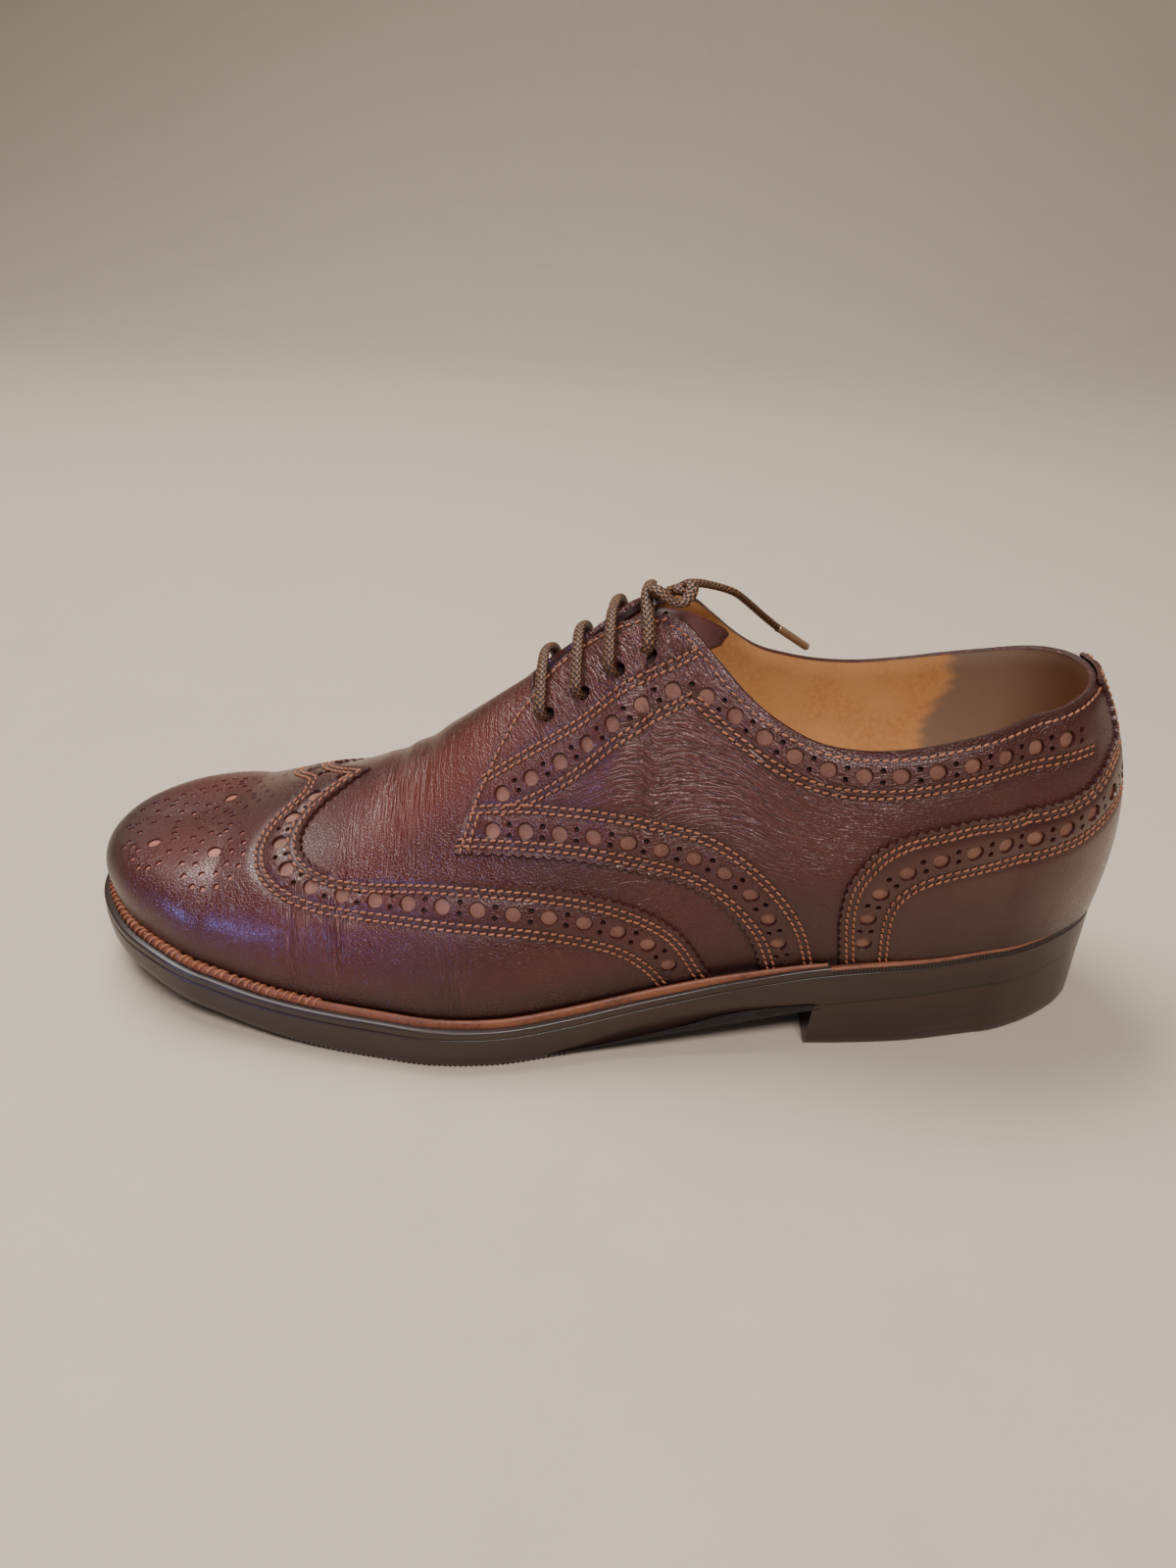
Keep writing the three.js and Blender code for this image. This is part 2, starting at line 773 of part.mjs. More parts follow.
// The upper's flat pattern as triangles, a row of points from the ridge or topline to the foot
const rows = 9;
function patternGrid() {
  const stations = [];
  const sideCount = 28;
  for (let i = 0; i <= sideCount; i += 1) {
    stations.push({ zone: 'side', t: toePole + (heelPole - toePole) * i / sideCount, side: LATERAL });
  }
  for (let i = 1; i < 2 * heelSteps; i += 1) {
    const turn = 90 * i / heelSteps;
    stations.push({ zone: 'heel', t: turn > 90 ? 180 - turn : turn, side: turn > 90 ? MEDIAL : LATERAL });
  }
  for (let i = sideCount; i >= 0; i -= 1) {
    stations.push({ zone: 'side', t: toePole + (heelPole - toePole) * i / sideCount, side: MEDIAL });
  }
  for (let i = 1; i < 2 * toeSteps; i += 1) {
    const turn = 90 * i / toeSteps;
    stations.push({ zone: 'toe', t: turn > 90 ? 180 - turn : turn, side: turn > 90 ? LATERAL : MEDIAL });
  }
  const points = [];
  const keys = new Map();
  const put = (s, v) => {
    const a = radians(s.t);
    let p = [s.t, s.side * (chartWidth * v + gapAt(s.t))];
    if (s.zone === 'toe') {
      p = [toePole - chartWidth * v * Math.sin(a), s.side * chartWidth * v * Math.cos(a)];
    }
    if (s.zone === 'heel') {
      const r = chartWidth * v + collarGap;
      p = [heelPole + r * Math.sin(a), s.side * r * Math.cos(a)];
    }
    const key = `${p[0].toFixed(3)} ${Math.abs(p[1]) < 1e-3 ? '0' : p[1].toFixed(3)}`;
    if (!keys.has(key)) {
      keys.set(key, points.length);
      points.push(p);
    }
    return keys.get(key);
  };
  const triangles = [];
  for (let k = 0; k < stations.length; k += 1) {
    const next = stations[(k + 1) % stations.length];
    for (let j = 0; j < rows; j += 1) {
      const [v, w] = [j / rows, (j + 1) / rows];
      const quad = [put(stations[k], v), put(next, v), put(next, w), put(stations[k], w)];
      if (quad[0] !== quad[1]) triangles.push([quad[0], quad[1], quad[2]]);
      triangles.push([quad[0], quad[2], quad[3]]);
    }
  }
  return { points, triangles: triangles.filter(([a, b, c]) => a !== b && b !== c && c !== a) };
}

// The pattern lies in a shallow dish while it is cut, so that its small faces stay apart
const dishDepth = 0.001;
const dish = (a, b) => dishDepth * ((a - throatPlace) ** 2 + b * b);

// A closed slab over the flat pattern between two heights
function slab(grid, low, high) {
  const n = grid.points.length;
  const sheet = (h) => grid.points.map(([x, y]) => [x, y, h + dish(x, y)]);
  const points = [...sheet(low), ...sheet(high)];
  const [p, q, r] = grid.triangles[0].map((i) => grid.points[i]);
  const turn = (q[0] - p[0]) * (r[1] - p[1]) - (q[1] - p[1]) * (r[0] - p[0]);
  const flat = grid.triangles.map(([a, b, c]) => (turn > 0 ? [a, b, c] : [a, c, b]));
  const edges = new Set(flat.flatMap(([a, b, c]) => [`${a} ${b}`, `${b} ${c}`, `${c} ${a}`]));
  const triangles = [];
  for (const [a, b, c] of flat) {
    triangles.push([a, c, b], [n + a, n + b, n + c]);
    for (const [i, j] of [[a, b], [b, c], [c, a]]) {
      if (!edges.has(`${j} ${i}`)) triangles.push([i, j, n + j], [i, n + j, n + i]);
    }
  }
  return solidOf(geometryOf(points, triangles));
}

// A tall prism over an outline of the flat pattern
const prismReach = 100;
function prism(outlinePoints) {
  const shape = new THREE.Shape(outlinePoints.map(([a, b]) => new THREE.Vector2(a, b)));
  const geometry = new THREE.ExtrudeGeometry(shape, { depth: 2 * prismReach, bevelEnabled: false });
  geometry.translate(0, 0, -prismReach);
  return solidOf(geometry);
}

const chartPoints = (edge) => edge.map(([at, across]) => [at * length, -across * chartWidth]);
const mirrored = (points) => points.map(([a, b]) => [a, -b]).reverse();

function upperSolid() {
  const grid = patternGrid();
  const wing = chartPoints(wingEdge);
  const wingOutline = [...wing, [-length, -2 * chartWidth], [-length, 2 * chartWidth], ...mirrored(wing.slice(1))];
  const quarter = [...chartPoints(quarterFoot).reverse(), ...chartPoints(facingEdge)];
  const quarterOutline = [
    [2 * length, -2 * chartWidth],
    ...quarter,
    ...mirrored(quarter),
    [2 * length, 2 * chartWidth],
  ];
  const counter = chartPoints(counterEdge);
  const counterOutline = [
    [2 * length, -2 * chartWidth],
    ...counter,
    ...mirrored(counter),
    [2 * length, 2 * chartWidth],
  ];
  const front = chartPoints(facingEdge).slice(5);
  const throatOutline = [...front, ...mirrored(front)];
  let upper = slab(grid, -wall, 0)
    .add(slab(grid, -wall / 2, capStep).intersect(prism(wingOutline)))
    .add(slab(grid, -wall / 2, capStep).intersect(prism(quarterOutline)))
    .add(slab(grid, -wall / 2, capStep + counterStep).intersect(prism(counterOutline)))
    .subtract(prism(throatOutline));
  for (const side of [LATERAL, MEDIAL]) {
    for (const [at, across] of eyelets.rows) {
      const hole = new THREE.CylinderGeometry(eyeletDiameter / 2, eyeletDiameter / 2, 2 * prismReach, 10);
      hole.rotateX(Math.PI / 2);
      hole.translate(at * length, side * across * chartWidth, 0);
      upper = upper.subtract(solidOf(hole));
    }
  }
  return geometryFrom(upper, (a, b, h) => lastSurface(a, b, h - dish(a, b)).toArray());
}

// Tongue: a curved plate under the facings, past the throat's top along the leg
function tongueGeometry() {
  const alongSteps = 12;
  const acrossSteps = 12;
  const deep = wall + tongueGap;
  const points = [];
  const sheet = (h) => {
    for (let i = 0; i <= alongSteps; i += 1) {
      const x = tongueStart + (tongueEnd - tongueStart) * i / alongSteps;
      const a = Math.min(x, throatPlace - 1);
      const past = x - a;
      for (let j = 0; j <= acrossSteps; j += 1) {
        const b = chartWidth * tongueHalf * (2 * j / acrossSteps - 1);
        const p = lastSurface(a, b, h);
        points.push([
          p.x + past,
          p.y * (1 - tongueTaper * past),
          p.z + tongueRise * past - tongueBend * past * past,
        ]);
      }
    }
  };
  sheet(-deep);
  sheet(-deep - tongueThickness);
  const across = acrossSteps + 1;
  const count = across * (alongSteps + 1);
  const triangles = [];
  for (let i = 0; i < alongSteps; i += 1) {
    for (let j = 0; j < acrossSteps; j += 1) {
      const [a, b, c, d] = [i * across + j, i * across + j + 1, (i + 1) * across + j + 1, (i + 1) * across + j];
      triangles.push([a, c, b], [a, d, c], [count + a, count + b, count + c], [count + a, count + c, count + d]);
    }
  }
  const rim = [];
  for (let j = 0; j < acrossSteps; j += 1) rim.push(j);
  for (let i = 0; i < alongSteps; i += 1) rim.push(i * across + acrossSteps);
  for (let j = acrossSteps; j > 0; j -= 1) rim.push(alongSteps * across + j);
  for (let i = alongSteps; i > 0; i -= 1) rim.push(i * across);
  rim.forEach((a, k) => {
    const b = rim[(k + 1) % rim.length];
    triangles.push([a, b, count + b], [a, count + b, count + a]);
  });
  return turnedOut(points, triangles);
}

// Round cord along a smooth route
function tube(route, diameter, steps, sides = 8) {
  const section = new THREE.Shape();
  for (let i = 0; i < sides; i += 1) {
    const a = 2 * Math.PI * i / sides;
    const [x, y] = [Math.cos(a) * diameter / 2, Math.sin(a) * diameter / 2];
    if (i === 0) section.moveTo(x, y);
    else section.lineTo(x, y);
  }
  const path = new THREE.CatmullRomCurve3(route);
  return new THREE.ExtrudeGeometry(section, { steps, extrudePath: path, bevelEnabled: false, curveSegments: 1 });
}

// A bar of lace over the gap, from above one eyelet to above the other
function barGeometry(at) {
  const lift = capStep + clearance + laceDiameter / 2;
  const route = [];
  const steps = 8;
  for (let i = 0; i <= steps; i += 1) {
    const share = 2 * i / steps - 1;
    const rise = lift + barBow * Math.cos(share * Math.PI / 2);
    route.push(lastSurface(at * length, share * barReach * chartWidth, rise));
  }
  return tube(route, laceDiameter, 10);
}

// Materials from the look of each piece
const finish = (color, roughness, metalness = 0) => new THREE.MeshStandardMaterial({ color, roughness, metalness });
const leather = finish('#4a1a16', 0.35);
const rubber = finish('#2a1c17', 0.55);
const weltLeather = finish('#5a2c1c', 0.5);
const lining = finish('#a9743c', 0.7);
const lace = finish('#3a2218', 0.8);
const agletFinish = finish('#6a5236', 0.4);

const shoe = new THREE.Group();
function place(name, geometry, material) {
  const mesh = new THREE.Mesh(geometry, material);
  mesh.name = name;
  shoe.add(mesh);
}

place('outsole', geometryFrom(outsoleSolid()), rubber);
place('heel_stack', geometryFrom(heelStackSolid()), rubber);
place('heel_top_lift', geometryFrom(topLiftSolid()), rubber);
place('welt', strip(weltStations, weltSection), weltLeather);
place('heel_rand', strip(randStations, randSection), weltLeather);

place('insole', geometryFrom(insoleSolid()), lining);
place('upper', upperSolid(), leather);
place('tongue', tongueGeometry(), leather);
eyelets.rows.forEach(([at], i) => place(`lace_bar_${i + 1}`, barGeometry(at), lace));

// The origin is under the middle of the shoe, without the loose lace, on the floor
const bounds = new THREE.Box3().setFromObject(shoe);
shoe.position.set(-(bounds.min.x + bounds.max.x) / 2, -(bounds.min.y + bounds.max.y) / 2, 0);

const lacePoint = ([at, across, up]) => new THREE.Vector3(at * length, across * ballWidth, up * instepHeight);
const knot = new THREE.SphereGeometry(knotSize / 2, 12, 8);
knot.scale(1, knotLength, knotHeight);
knot.translate(...lacePoint(knotPlace).toArray());
place('lace_knot', knot, lace);
place('lace_end', tube(laceEndRoute.map(lacePoint), laceDiameter, 16), lace);

const [agletStart, agletEnd] = agletRoute.map(lacePoint);
const agletRun = agletEnd.clone().sub(agletStart);
const aglet = new THREE.CylinderGeometry(agletDiameter / 2, agletDiameter / 2, agletRun.length(), 8);
aglet.applyQuaternion(new THREE.Quaternion().setFromUnitVectors(
  new THREE.Vector3(0, 1, 0),
  agletRun.clone().normalize(),
));
aglet.translate(...agletStart.clone().add(agletEnd).multiplyScalar(0.5).toArray());
place('aglet', aglet, agletFinish);

export default shoe;
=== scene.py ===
"""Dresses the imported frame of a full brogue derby, the left shoe of a pair.

Lengths on the last are millimetres: x runs from the toe tip to the heel, y towards the inner side of
the foot and z up. A pattern point (a, b) lies on the upper's flat pattern: a along the shoe, b across
it from the ridge or the topline, negative on the outer side. Meshes are metres, in the frame.
"""

import logging
import math
from collections.abc import Callable, Sequence
from dataclasses import dataclass, field
from enum import Enum
from functools import cache

import bpy
import numpy as np
from mathutils import Matrix, Vector
from mathutils.geometry import delaunay_2d_cdt
from mathutils.kdtree import KDTree

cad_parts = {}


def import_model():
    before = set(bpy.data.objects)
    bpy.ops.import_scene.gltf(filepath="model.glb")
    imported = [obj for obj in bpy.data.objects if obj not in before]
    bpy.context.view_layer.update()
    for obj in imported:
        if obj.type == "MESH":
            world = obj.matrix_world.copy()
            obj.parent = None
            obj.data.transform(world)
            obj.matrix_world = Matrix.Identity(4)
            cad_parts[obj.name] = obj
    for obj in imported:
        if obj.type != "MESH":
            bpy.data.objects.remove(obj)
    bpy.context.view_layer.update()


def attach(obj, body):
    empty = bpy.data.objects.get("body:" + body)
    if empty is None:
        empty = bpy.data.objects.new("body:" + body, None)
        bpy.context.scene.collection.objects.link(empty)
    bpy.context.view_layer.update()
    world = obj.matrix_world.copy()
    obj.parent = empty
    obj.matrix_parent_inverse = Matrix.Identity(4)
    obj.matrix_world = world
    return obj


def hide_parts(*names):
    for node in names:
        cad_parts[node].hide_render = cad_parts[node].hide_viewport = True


Array = np.ndarray
LOG = logging.getLogger("derby")
MM = 0.001
OUTER = -1
INNER = 1
BODY = "root"


class Zone(Enum):
    """Stretch of the shoe's edge that a station lies on."""

    TOE = "toe"
    SIDE = "side"
    HEEL = "heel"


@dataclass(frozen=True)
class Table:
    """A short table of smooth curves: the first column is where each row stands."""

    columns: str
    rows: tuple[tuple[float, ...], ...]

    def read(self, name: str, at: Array) -> Array:
        """Reads one column as a smooth curve, held flat past both ends.

        Args:
            name: The column.
            at: Places to read at.

        Returns:
            The values, one for each place.
        """
        xs, ys, step, slope = curve(self, name)
        x = np.minimum(np.maximum(at, xs[0]), xs[-1])
        i = np.minimum(np.searchsorted(xs, x, side="right"), len(step)) - 1
        width = step[i]
        t = (x - xs[i]) / width
        rise = t * t * (3 - 2 * t)
        lead = t * (1 - t) ** 2 * slope[i]
        trail = t * t * (t - 1) * slope[i + 1]
        return ys[i] * (1 - rise) + ys[i + 1] * rise + (lead + trail) * width


@cache
def curve(table: Table, name: str) -> tuple[Array, Array, Array, Array]:
    """Prepares one column of a table as a smooth curve.

    Args:
        table: The table.
        name: The column.

    Returns:
        The rows' places, their values, the steps between rows and the slope at each row.
    """
    data = np.array(table.rows, float)
    xs, ys = data[:, 0], data[:, table.columns.split().index(name)]
    step = np.diff(xs)
    chord = np.diff(ys) / step
    slope = np.concatenate([chord[:1], chord])
    slope[1:-1] = (chord[:-1] * step[1:] + chord[1:] * step[:-1]) / (step[1:] + step[:-1])
    return xs, ys, step, slope


def unit(vectors: Array) -> Array:
    """Returns the vectors, one a row, each with length 1."""
    return vectors / np.maximum(np.linalg.norm(vectors, axis=-1, keepdims=True), 1e-12)


def run_of(points: Array) -> Array:
    """Returns how far along a line each of its points lies."""
    return np.concatenate([[0], np.cumsum(np.linalg.norm(np.diff(points, axis=0), axis=1))])


def smoothstep(low: float, high: float, x: Array) -> Array:
    """Returns a smooth rise from 0 at low to 1 at high."""
    t = np.clip((x - low) / (high - low), 0, 1)
    return t * t * (3 - 2 * t)


def smooth_line(points: Sequence[tuple[float, float]], step: float = 1.0) -> Array:
    """Draws a smooth line through a few points.

    Args:
        points: The points, in order.
        step: Distance between the points that come back.

    Returns:
        The line's points, one a row.
    """
    p = np.array(points, float)
    run = run_of(p)
    at = np.linspace(0, run[-1], max(int(run[-1] / step), 2) + 1)
    names = [f"c{i}" for i in range(p.shape[1])]
    table = Table(" ".join(["run", *names]), tuple(map(tuple, np.column_stack([run, p]))))
    return np.column_stack([table.read(name, at) for name in names])


@dataclass(frozen=True)
class Crease:
    """A soft trough worn across the upper, with a low ridge on each side."""

    a: float
    b_from: float
    b_to: float
    lean: float
    width: float
    depth: float

    def height(self, a: Array, b: Array) -> Array:
        """Measures how far the crease moves the surface.

        Args:
            a: Places along the pattern.
            b: Places across it.

        Returns:
            Heights, one for each point.
        """
        middle = (self.b_from + self.b_to) / 2
        across = (a - self.a - self.lean * (b - middle)) / self.width
        half = abs(self.b_to - self.b_from) / 2
        along = 1 - smoothstep(0.45, 1.0, np.abs(b - middle) / half)
        return along * self.depth * (0.45 * np.exp(-((np.abs(across) - 1.9) ** 2)) - np.exp(-(across**2)))


@dataclass(frozen=True)
class Last:
    """The shoe's last, with the sizes and tables of the part's source."""

    length: float = 308.0
    ball_width: float = 108.0
    instep_height: float = 122.0
    sole_edge: float = 13.3
    toe_lift: float = 10.7
    heel_lift: float = 21.2
    toe_spring: float = 15.8
    breast_height: float = 15.0
    foot_gap: float = 0.55
    chart_width: float = 100.0
    collar_gap: float = 20.0
    shift: tuple[float, float] = (0.0, 0.0)
    creases: tuple[Crease, ...] = ()
    outline: Table = Table("at outer inner", (
        (0.146, 0.444, 0.424), (0.195, 0.480, 0.449), (0.260, 0.514, 0.468), (0.308, 0.532, 0.463),
        (0.357, 0.548, 0.449), (0.422, 0.534, 0.407), (0.487, 0.487, 0.352), (0.552, 0.438, 0.310),
        (0.617, 0.403, 0.292), (0.682, 0.389, 0.292), (0.747, 0.375, 0.306), (0.812, 0.351, 0.319),
        (0.883, 0.302, 0.315)))
    toe_reach: Table = Table("angle outer inner", (
        (0, 1.064, 1.018), (27, 0.982, 0.969), (43, 0.976, 0.976), (57, 0.978, 0.984),
        (70, 0.993, 0.998), (90, 1, 1)))
    heel_reach: Table = Table("angle outer inner", (
        (0, 0.906, 0.944), (25, 0.850, 0.955), (48, 0.872, 0.985), (64, 0.934, 1.000),
        (75, 0.981, 1.000), (90, 1, 1)))
    seat_line: Table = Table("at toe heel", (
        (0, 1, 0), (0.081, 0.738, 0), (0.195, 0.215, 0), (0.325, 0, 0), (0.455, 0, 0),
        (0.584, 0, 0.269), (0.727, 0, 0.717), (0.844, 0, 0.830), (1, 0, 1)))
    tread_line: Table = Table("at toe heel", (
        (0, 1, 0), (0.065, 0.734, 0), (0.146, 0.405, 0), (0.244, 0.095, 0), (0.341, 0, 0),
        (0.422, 0, 0), (0.487, 0, 0.080), (0.568, 0, 0.280), (0.649, 0, 0.780), (0.727, 0, 1),
        (1, 0, 1.400)))
    feather_inset: Table = Table("at inset", (
        (0, 0.057), (0.325, 0.056), (0.552, 0.050), (0.727, 0.040), (0.883, 0.028), (1, 0.021)))
    ridge: Table = Table("at across height", (
        (0.146, 0, 0.375), (0.195, 0.009, 0.428), (0.260, 0.023, 0.484), (0.325, 0.032, 0.564),
        (0.373, 0.032, 0.658), (0.422, 0.028, 0.754), (0.487, 0.014, 0.885), (0.545, 0, 1)))
    topline: Table = Table("at outer_at outer outer_height inner_at inner inner_height", (
        (0.545, 0.545, 0, 1.000, 0.545, 0, 1.000), (0.555, 0.557, 0.069, 0.995, 0.562, 0.069, 0.995),
        (0.578, 0.577, 0.111, 0.980, 0.584, 0.111, 0.967), (0.601, 0.602, 0.157, 0.922, 0.604, 0.148, 0.918),
        (0.627, 0.626, 0.208, 0.869, 0.627, 0.185, 0.861), (0.649, 0.644, 0.241, 0.839, 0.649, 0.222, 0.816),
        (0.685, 0.685, 0.278, 0.789, 0.685, 0.259, 0.779), (0.724, 0.723, 0.296, 0.776, 0.721, 0.287, 0.758),
        (0.763, 0.761, 0.306, 0.785, 0.760, 0.306, 0.752), (0.802, 0.800, 0.296, 0.802, 0.802, 0.306, 0.766),
        (0.841, 0.840, 0.269, 0.823, 0.841, 0.278, 0.795),
        (0.883, 0.881, 0.213, 0.848, 0.883, 0.227, 0.832)))
    heel_rim: Table = Table("angle outer inner outer_height inner_height", (
        (0, 0.213, 0.227, 0.848, 0.832), (30, 0.190, 0.199, 0.865, 0.861),
        (60, 0.176, 0.180, 0.877, 0.877), (90, 0.174, 0.174, 0.881, 0.881)))
    side_profile: Table = Table(
        "at outer_slope outer_pull outer_lean outer_lift inner_slope inner_pull inner_lean inner_lift", (
            (0.146, 0, 0.172, 14, 0.197, 0, 0.172, 16, 0.197),
            (0.227, 0, 0.172, 14, 0.213, 0, 0.172, 14, 0.213),
            (0.325, 0, 0.172, 12, 0.213, 0, 0.172, 10, 0.213),
            (0.422, 2, 0.131, 8, 0.246, 2, 0.131, 6, 0.230),
            (0.487, 5, 0.131, 6, 0.279, 5, 0.131, 6, 0.262),
            (0.545, 8, 0.148, 5, 0.295, 8, 0.148, 8, 0.279),
            (0.558, 48, 0.115, 5, 0.311, 50, 0.115, 8, 0.295),
            (0.584, 62, 0.148, 5, 0.295, 64, 0.148, 8, 0.287),
            (0.649, 66, 0.197, 6, 0.246, 72, 0.197, 10, 0.246),
            (0.763, 70, 0.213, 8, 0.213, 78, 0.213, 10, 0.213),
            (0.883, 74, 0.213, 8, 0.213, 74, 0.213, 8, 0.213)))
    toe_profile: Table = Table("angle slope pull outer_lean inner_lean lift", (
        (0, 0, 0.172, 14, 16, 0.197), (45, 14, 0.205, 19, 20, 0.205), (90, 21, 0.230, 24, 24, 0.205)))
    heel_profile: Table = Table("angle slope pull lean lift", (
        (0, 74, 0.213, 8, 0.213), (45, 65, 0.242, 6.5, 0.205), (90, 57, 0.262, 5, 0.197)))

    @property
    def toe_pole(self) -> float:
        """Place of the toe's pole."""
        return 0.146 * self.length

    @property
    def heel_pole(self) -> float:
        """Place of the heel's pole."""
        return 0.883 * self.length

    @property
    def throat(self) -> float:
        """Place of the top of the instep, where the collar starts."""
        return 0.545 * self.length

    def seat(self, x: Array) -> Array:
        """Returns the height of the sole's upper edge."""
        toe, heel = (self.seat_line.read(name, x / self.length) for name in ("toe", "heel"))
        return self.sole_edge + self.toe_lift * toe + self.heel_lift * heel

    def tread(self, x: Array) -> Array:
        """Returns the height of the outsole's underside."""
        toe, heel = (self.tread_line.read(name, x / self.length) for name in ("toe", "heel"))
        return np.maximum(0, self.toe_spring * toe + self.breast_height * heel)

    def foot_inset(self, x: Array) -> Array:
        """Returns how far the upper's foot stands in from the sole's edge."""
        return self.ball_width * self.feather_inset.read("inset", x / self.length)

    def edge(self, zone: Zone, t: Array, side: int) -> Array:
        """Places points on the sole's edge in plan.

        Args:
            zone: Zone of the stations.
            t: Stations.
            side: OUTER or INNER.

        Returns:
            The points, one a row.
        """
        name = side_name(side)
        if zone is Zone.SIDE:
            width = self.ball_width * self.outline.read(name, t / self.length)
            return np.column_stack([t, side * width])
        angle = np.radians(t)
        if zone is Zone.TOE:
            reach = self.toe_reach.read(name, t)
            half = 0.4167 * self.ball_width
            return np.column_stack([self.toe_pole * (1 - reach * np.sin(angle)),
                                    side * half * reach * np.cos(angle)])
        reach = self.heel_reach.read(name, t)
        half = 0.3333 * self.ball_width
        return np.column_stack([self.heel_pole + (self.length - self.heel_pole) * reach * np.sin(angle),
                                side * half * reach * np.cos(angle)])

    def limits(self, zone: Zone) -> tuple[float, float]:
        """Returns the first and last station of a zone."""
        return (self.toe_pole, self.heel_pole) if zone is Zone.SIDE else (0.0, 90.0)

    def outward(self, zone: Zone, t: Array, side: int) -> Array:
        """Finds the way out of the shoe across its edge.

        Args:
            zone: Zone of the stations.
            t: Stations.
            side: OUTER or INNER.

        Returns:
            Unit vectors in plan, one a row.
        """
        low, high = self.limits(zone)
        ahead = self.edge(zone, np.minimum(t + 0.5, high), side)
        along = ahead - self.edge(zone, np.maximum(t - 0.5, low), side)
        normal = unit(np.column_stack([along[:, 1], -along[:, 0]]))
        here = self.edge(zone, t, side)
        pole = {Zone.TOE: self.toe_pole, Zone.HEEL: self.heel_pole, Zone.SIDE: here[:, 0]}[zone]
        facing = normal[:, 0] * (here[:, 0] - pole) + normal[:, 1] * here[:, 1]
        return np.where(facing[:, None] < 0, -normal, normal)

    def top(self, zone: Zone, t: Array, side: int) -> Array:
        """Places points on the ridge or on the topline.

        Args:
            zone: Zone of the stations.
            t: Stations.
            side: OUTER or INNER.

        Returns:
            The points, one a row.
        """
        name = side_name(side)
        if zone is Zone.TOE:
            height = self.instep_height * self.ridge.read("height", np.full(len(t), 0.146))
            return np.column_stack([np.full(len(t), self.toe_pole), np.zeros(len(t)), height])
        if zone is Zone.SIDE:
            at = t / self.length
            crest = np.column_stack([t, self.ball_width * self.ridge.read("across", at),
                                     self.instep_height * self.ridge.read("height", at)])
            rim = np.column_stack([self.length * self.topline.read(f"{name}_at", at),
                                   side * self.ball_width * self.topline.read(name, at),
                                   self.instep_height * self.topline.read(f"{name}_height", at)])
            return np.where((t <= self.throat)[:, None], crest, rim)
        angle = np.radians(t)
        reach = self.ball_width * self.heel_rim.read(name, t)
        height = self.instep_height * self.heel_rim.read(f"{name}_height", t)
        return np.column_stack([self.heel_pole + reach * np.sin(angle), side * reach * np.cos(angle),
                                height])

    def profile(self, zone: Zone, t: Array, side: int, v: Array) -> Array:
        """Places points on the last's surface.

        Args:
            zone: Zone of the stations.
            t: Stations.
            side: OUTER or INNER.
            v: Share of the way from the ridge or topline to the upper's foot.

        Returns:
            The points, one a row.
        """
        name = side_name(side)
        if zone is Zone.SIDE:
            slope, pull, lean, lift = (self.side_profile.read(f"{name}_{word}", t / self.length)
                                       for word in ("slope", "pull", "lean", "lift"))
        elif zone is Zone.TOE:
            slope, pull, lean, lift = (self.toe_profile.read(word, t)
                                       for word in ("slope", "pull", f"{name}_lean", "lift"))
        else:
            slope, pull, lean, lift = (self.heel_profile.read(word, t)
                                       for word in ("slope", "pull", "lean", "lift"))
        angle, fall, tip = np.radians(t), np.radians(slope), np.radians(lean)
        turn = {Zone.TOE: -1, Zone.SIDE: 0, Zone.HEEL: 1}[zone]
        across = np.column_stack([turn * np.sin(angle), side * (np.cos(angle) if turn else np.ones(len(t)))])
        out = self.outward(zone, t, side)
        edge = self.edge(zone, t, side)
        seat = self.seat(edge[:, 0]) + self.foot_gap
        foot = np.column_stack([edge - out * self.foot_inset(edge[:, 0])[:, None], seat])
        top = self.top(zone, t, side)
        down = np.column_stack([across * np.cos(fall)[:, None], -np.sin(fall)])
        rise = np.column_stack([out * np.sin(tip)[:, None], np.cos(tip)])
        near_top = top + down * (self.instep_height * pull)[:, None]
        near_foot = foot + rise * (self.instep_height * lift)[:, None]
        w = np.clip(v, 0, 1)[:, None]
        point = (top * (1 - w) ** 3 + 3 * near_top * w * (1 - w) ** 2
                 + 3 * near_foot * w**2 * (1 - w) + foot * w**3)
        point[:, 2] -= np.clip((v - 1) * 60, 0, 1.4)
        return point

    def gap(self, a: Array) -> Array:
        """Returns the width that the collar's opening takes on the pattern."""
        return self.collar_gap * smoothstep(0, 0.104 * self.length, a - self.throat)

    def station(self, points: Array) -> tuple[Array, Array, Array]:
        """Finds the stations of pattern points.

        Args:
            points: Pattern points.

        Returns:
            The zone's number in Zone's order, the station and v of each point.
        """
        a, b = points[:, 0], np.abs(points[:, 1])
        ahead, behind = self.toe_pole - a, a - self.heel_pole
        zone = np.where(ahead > 0, 0, np.where(behind > 0, 2, 1))
        angle = np.degrees(np.arctan2(np.where(zone == 0, ahead, behind), np.maximum(b, 1e-9)))
        far = np.hypot(np.where(zone == 0, ahead, behind), b) - np.where(zone == 2, self.collar_gap, 0)
        t = np.where(zone == 1, a, angle)
        v = np.where(zone == 1, b - self.gap(a), far) / self.chart_width
        return zone, t, v

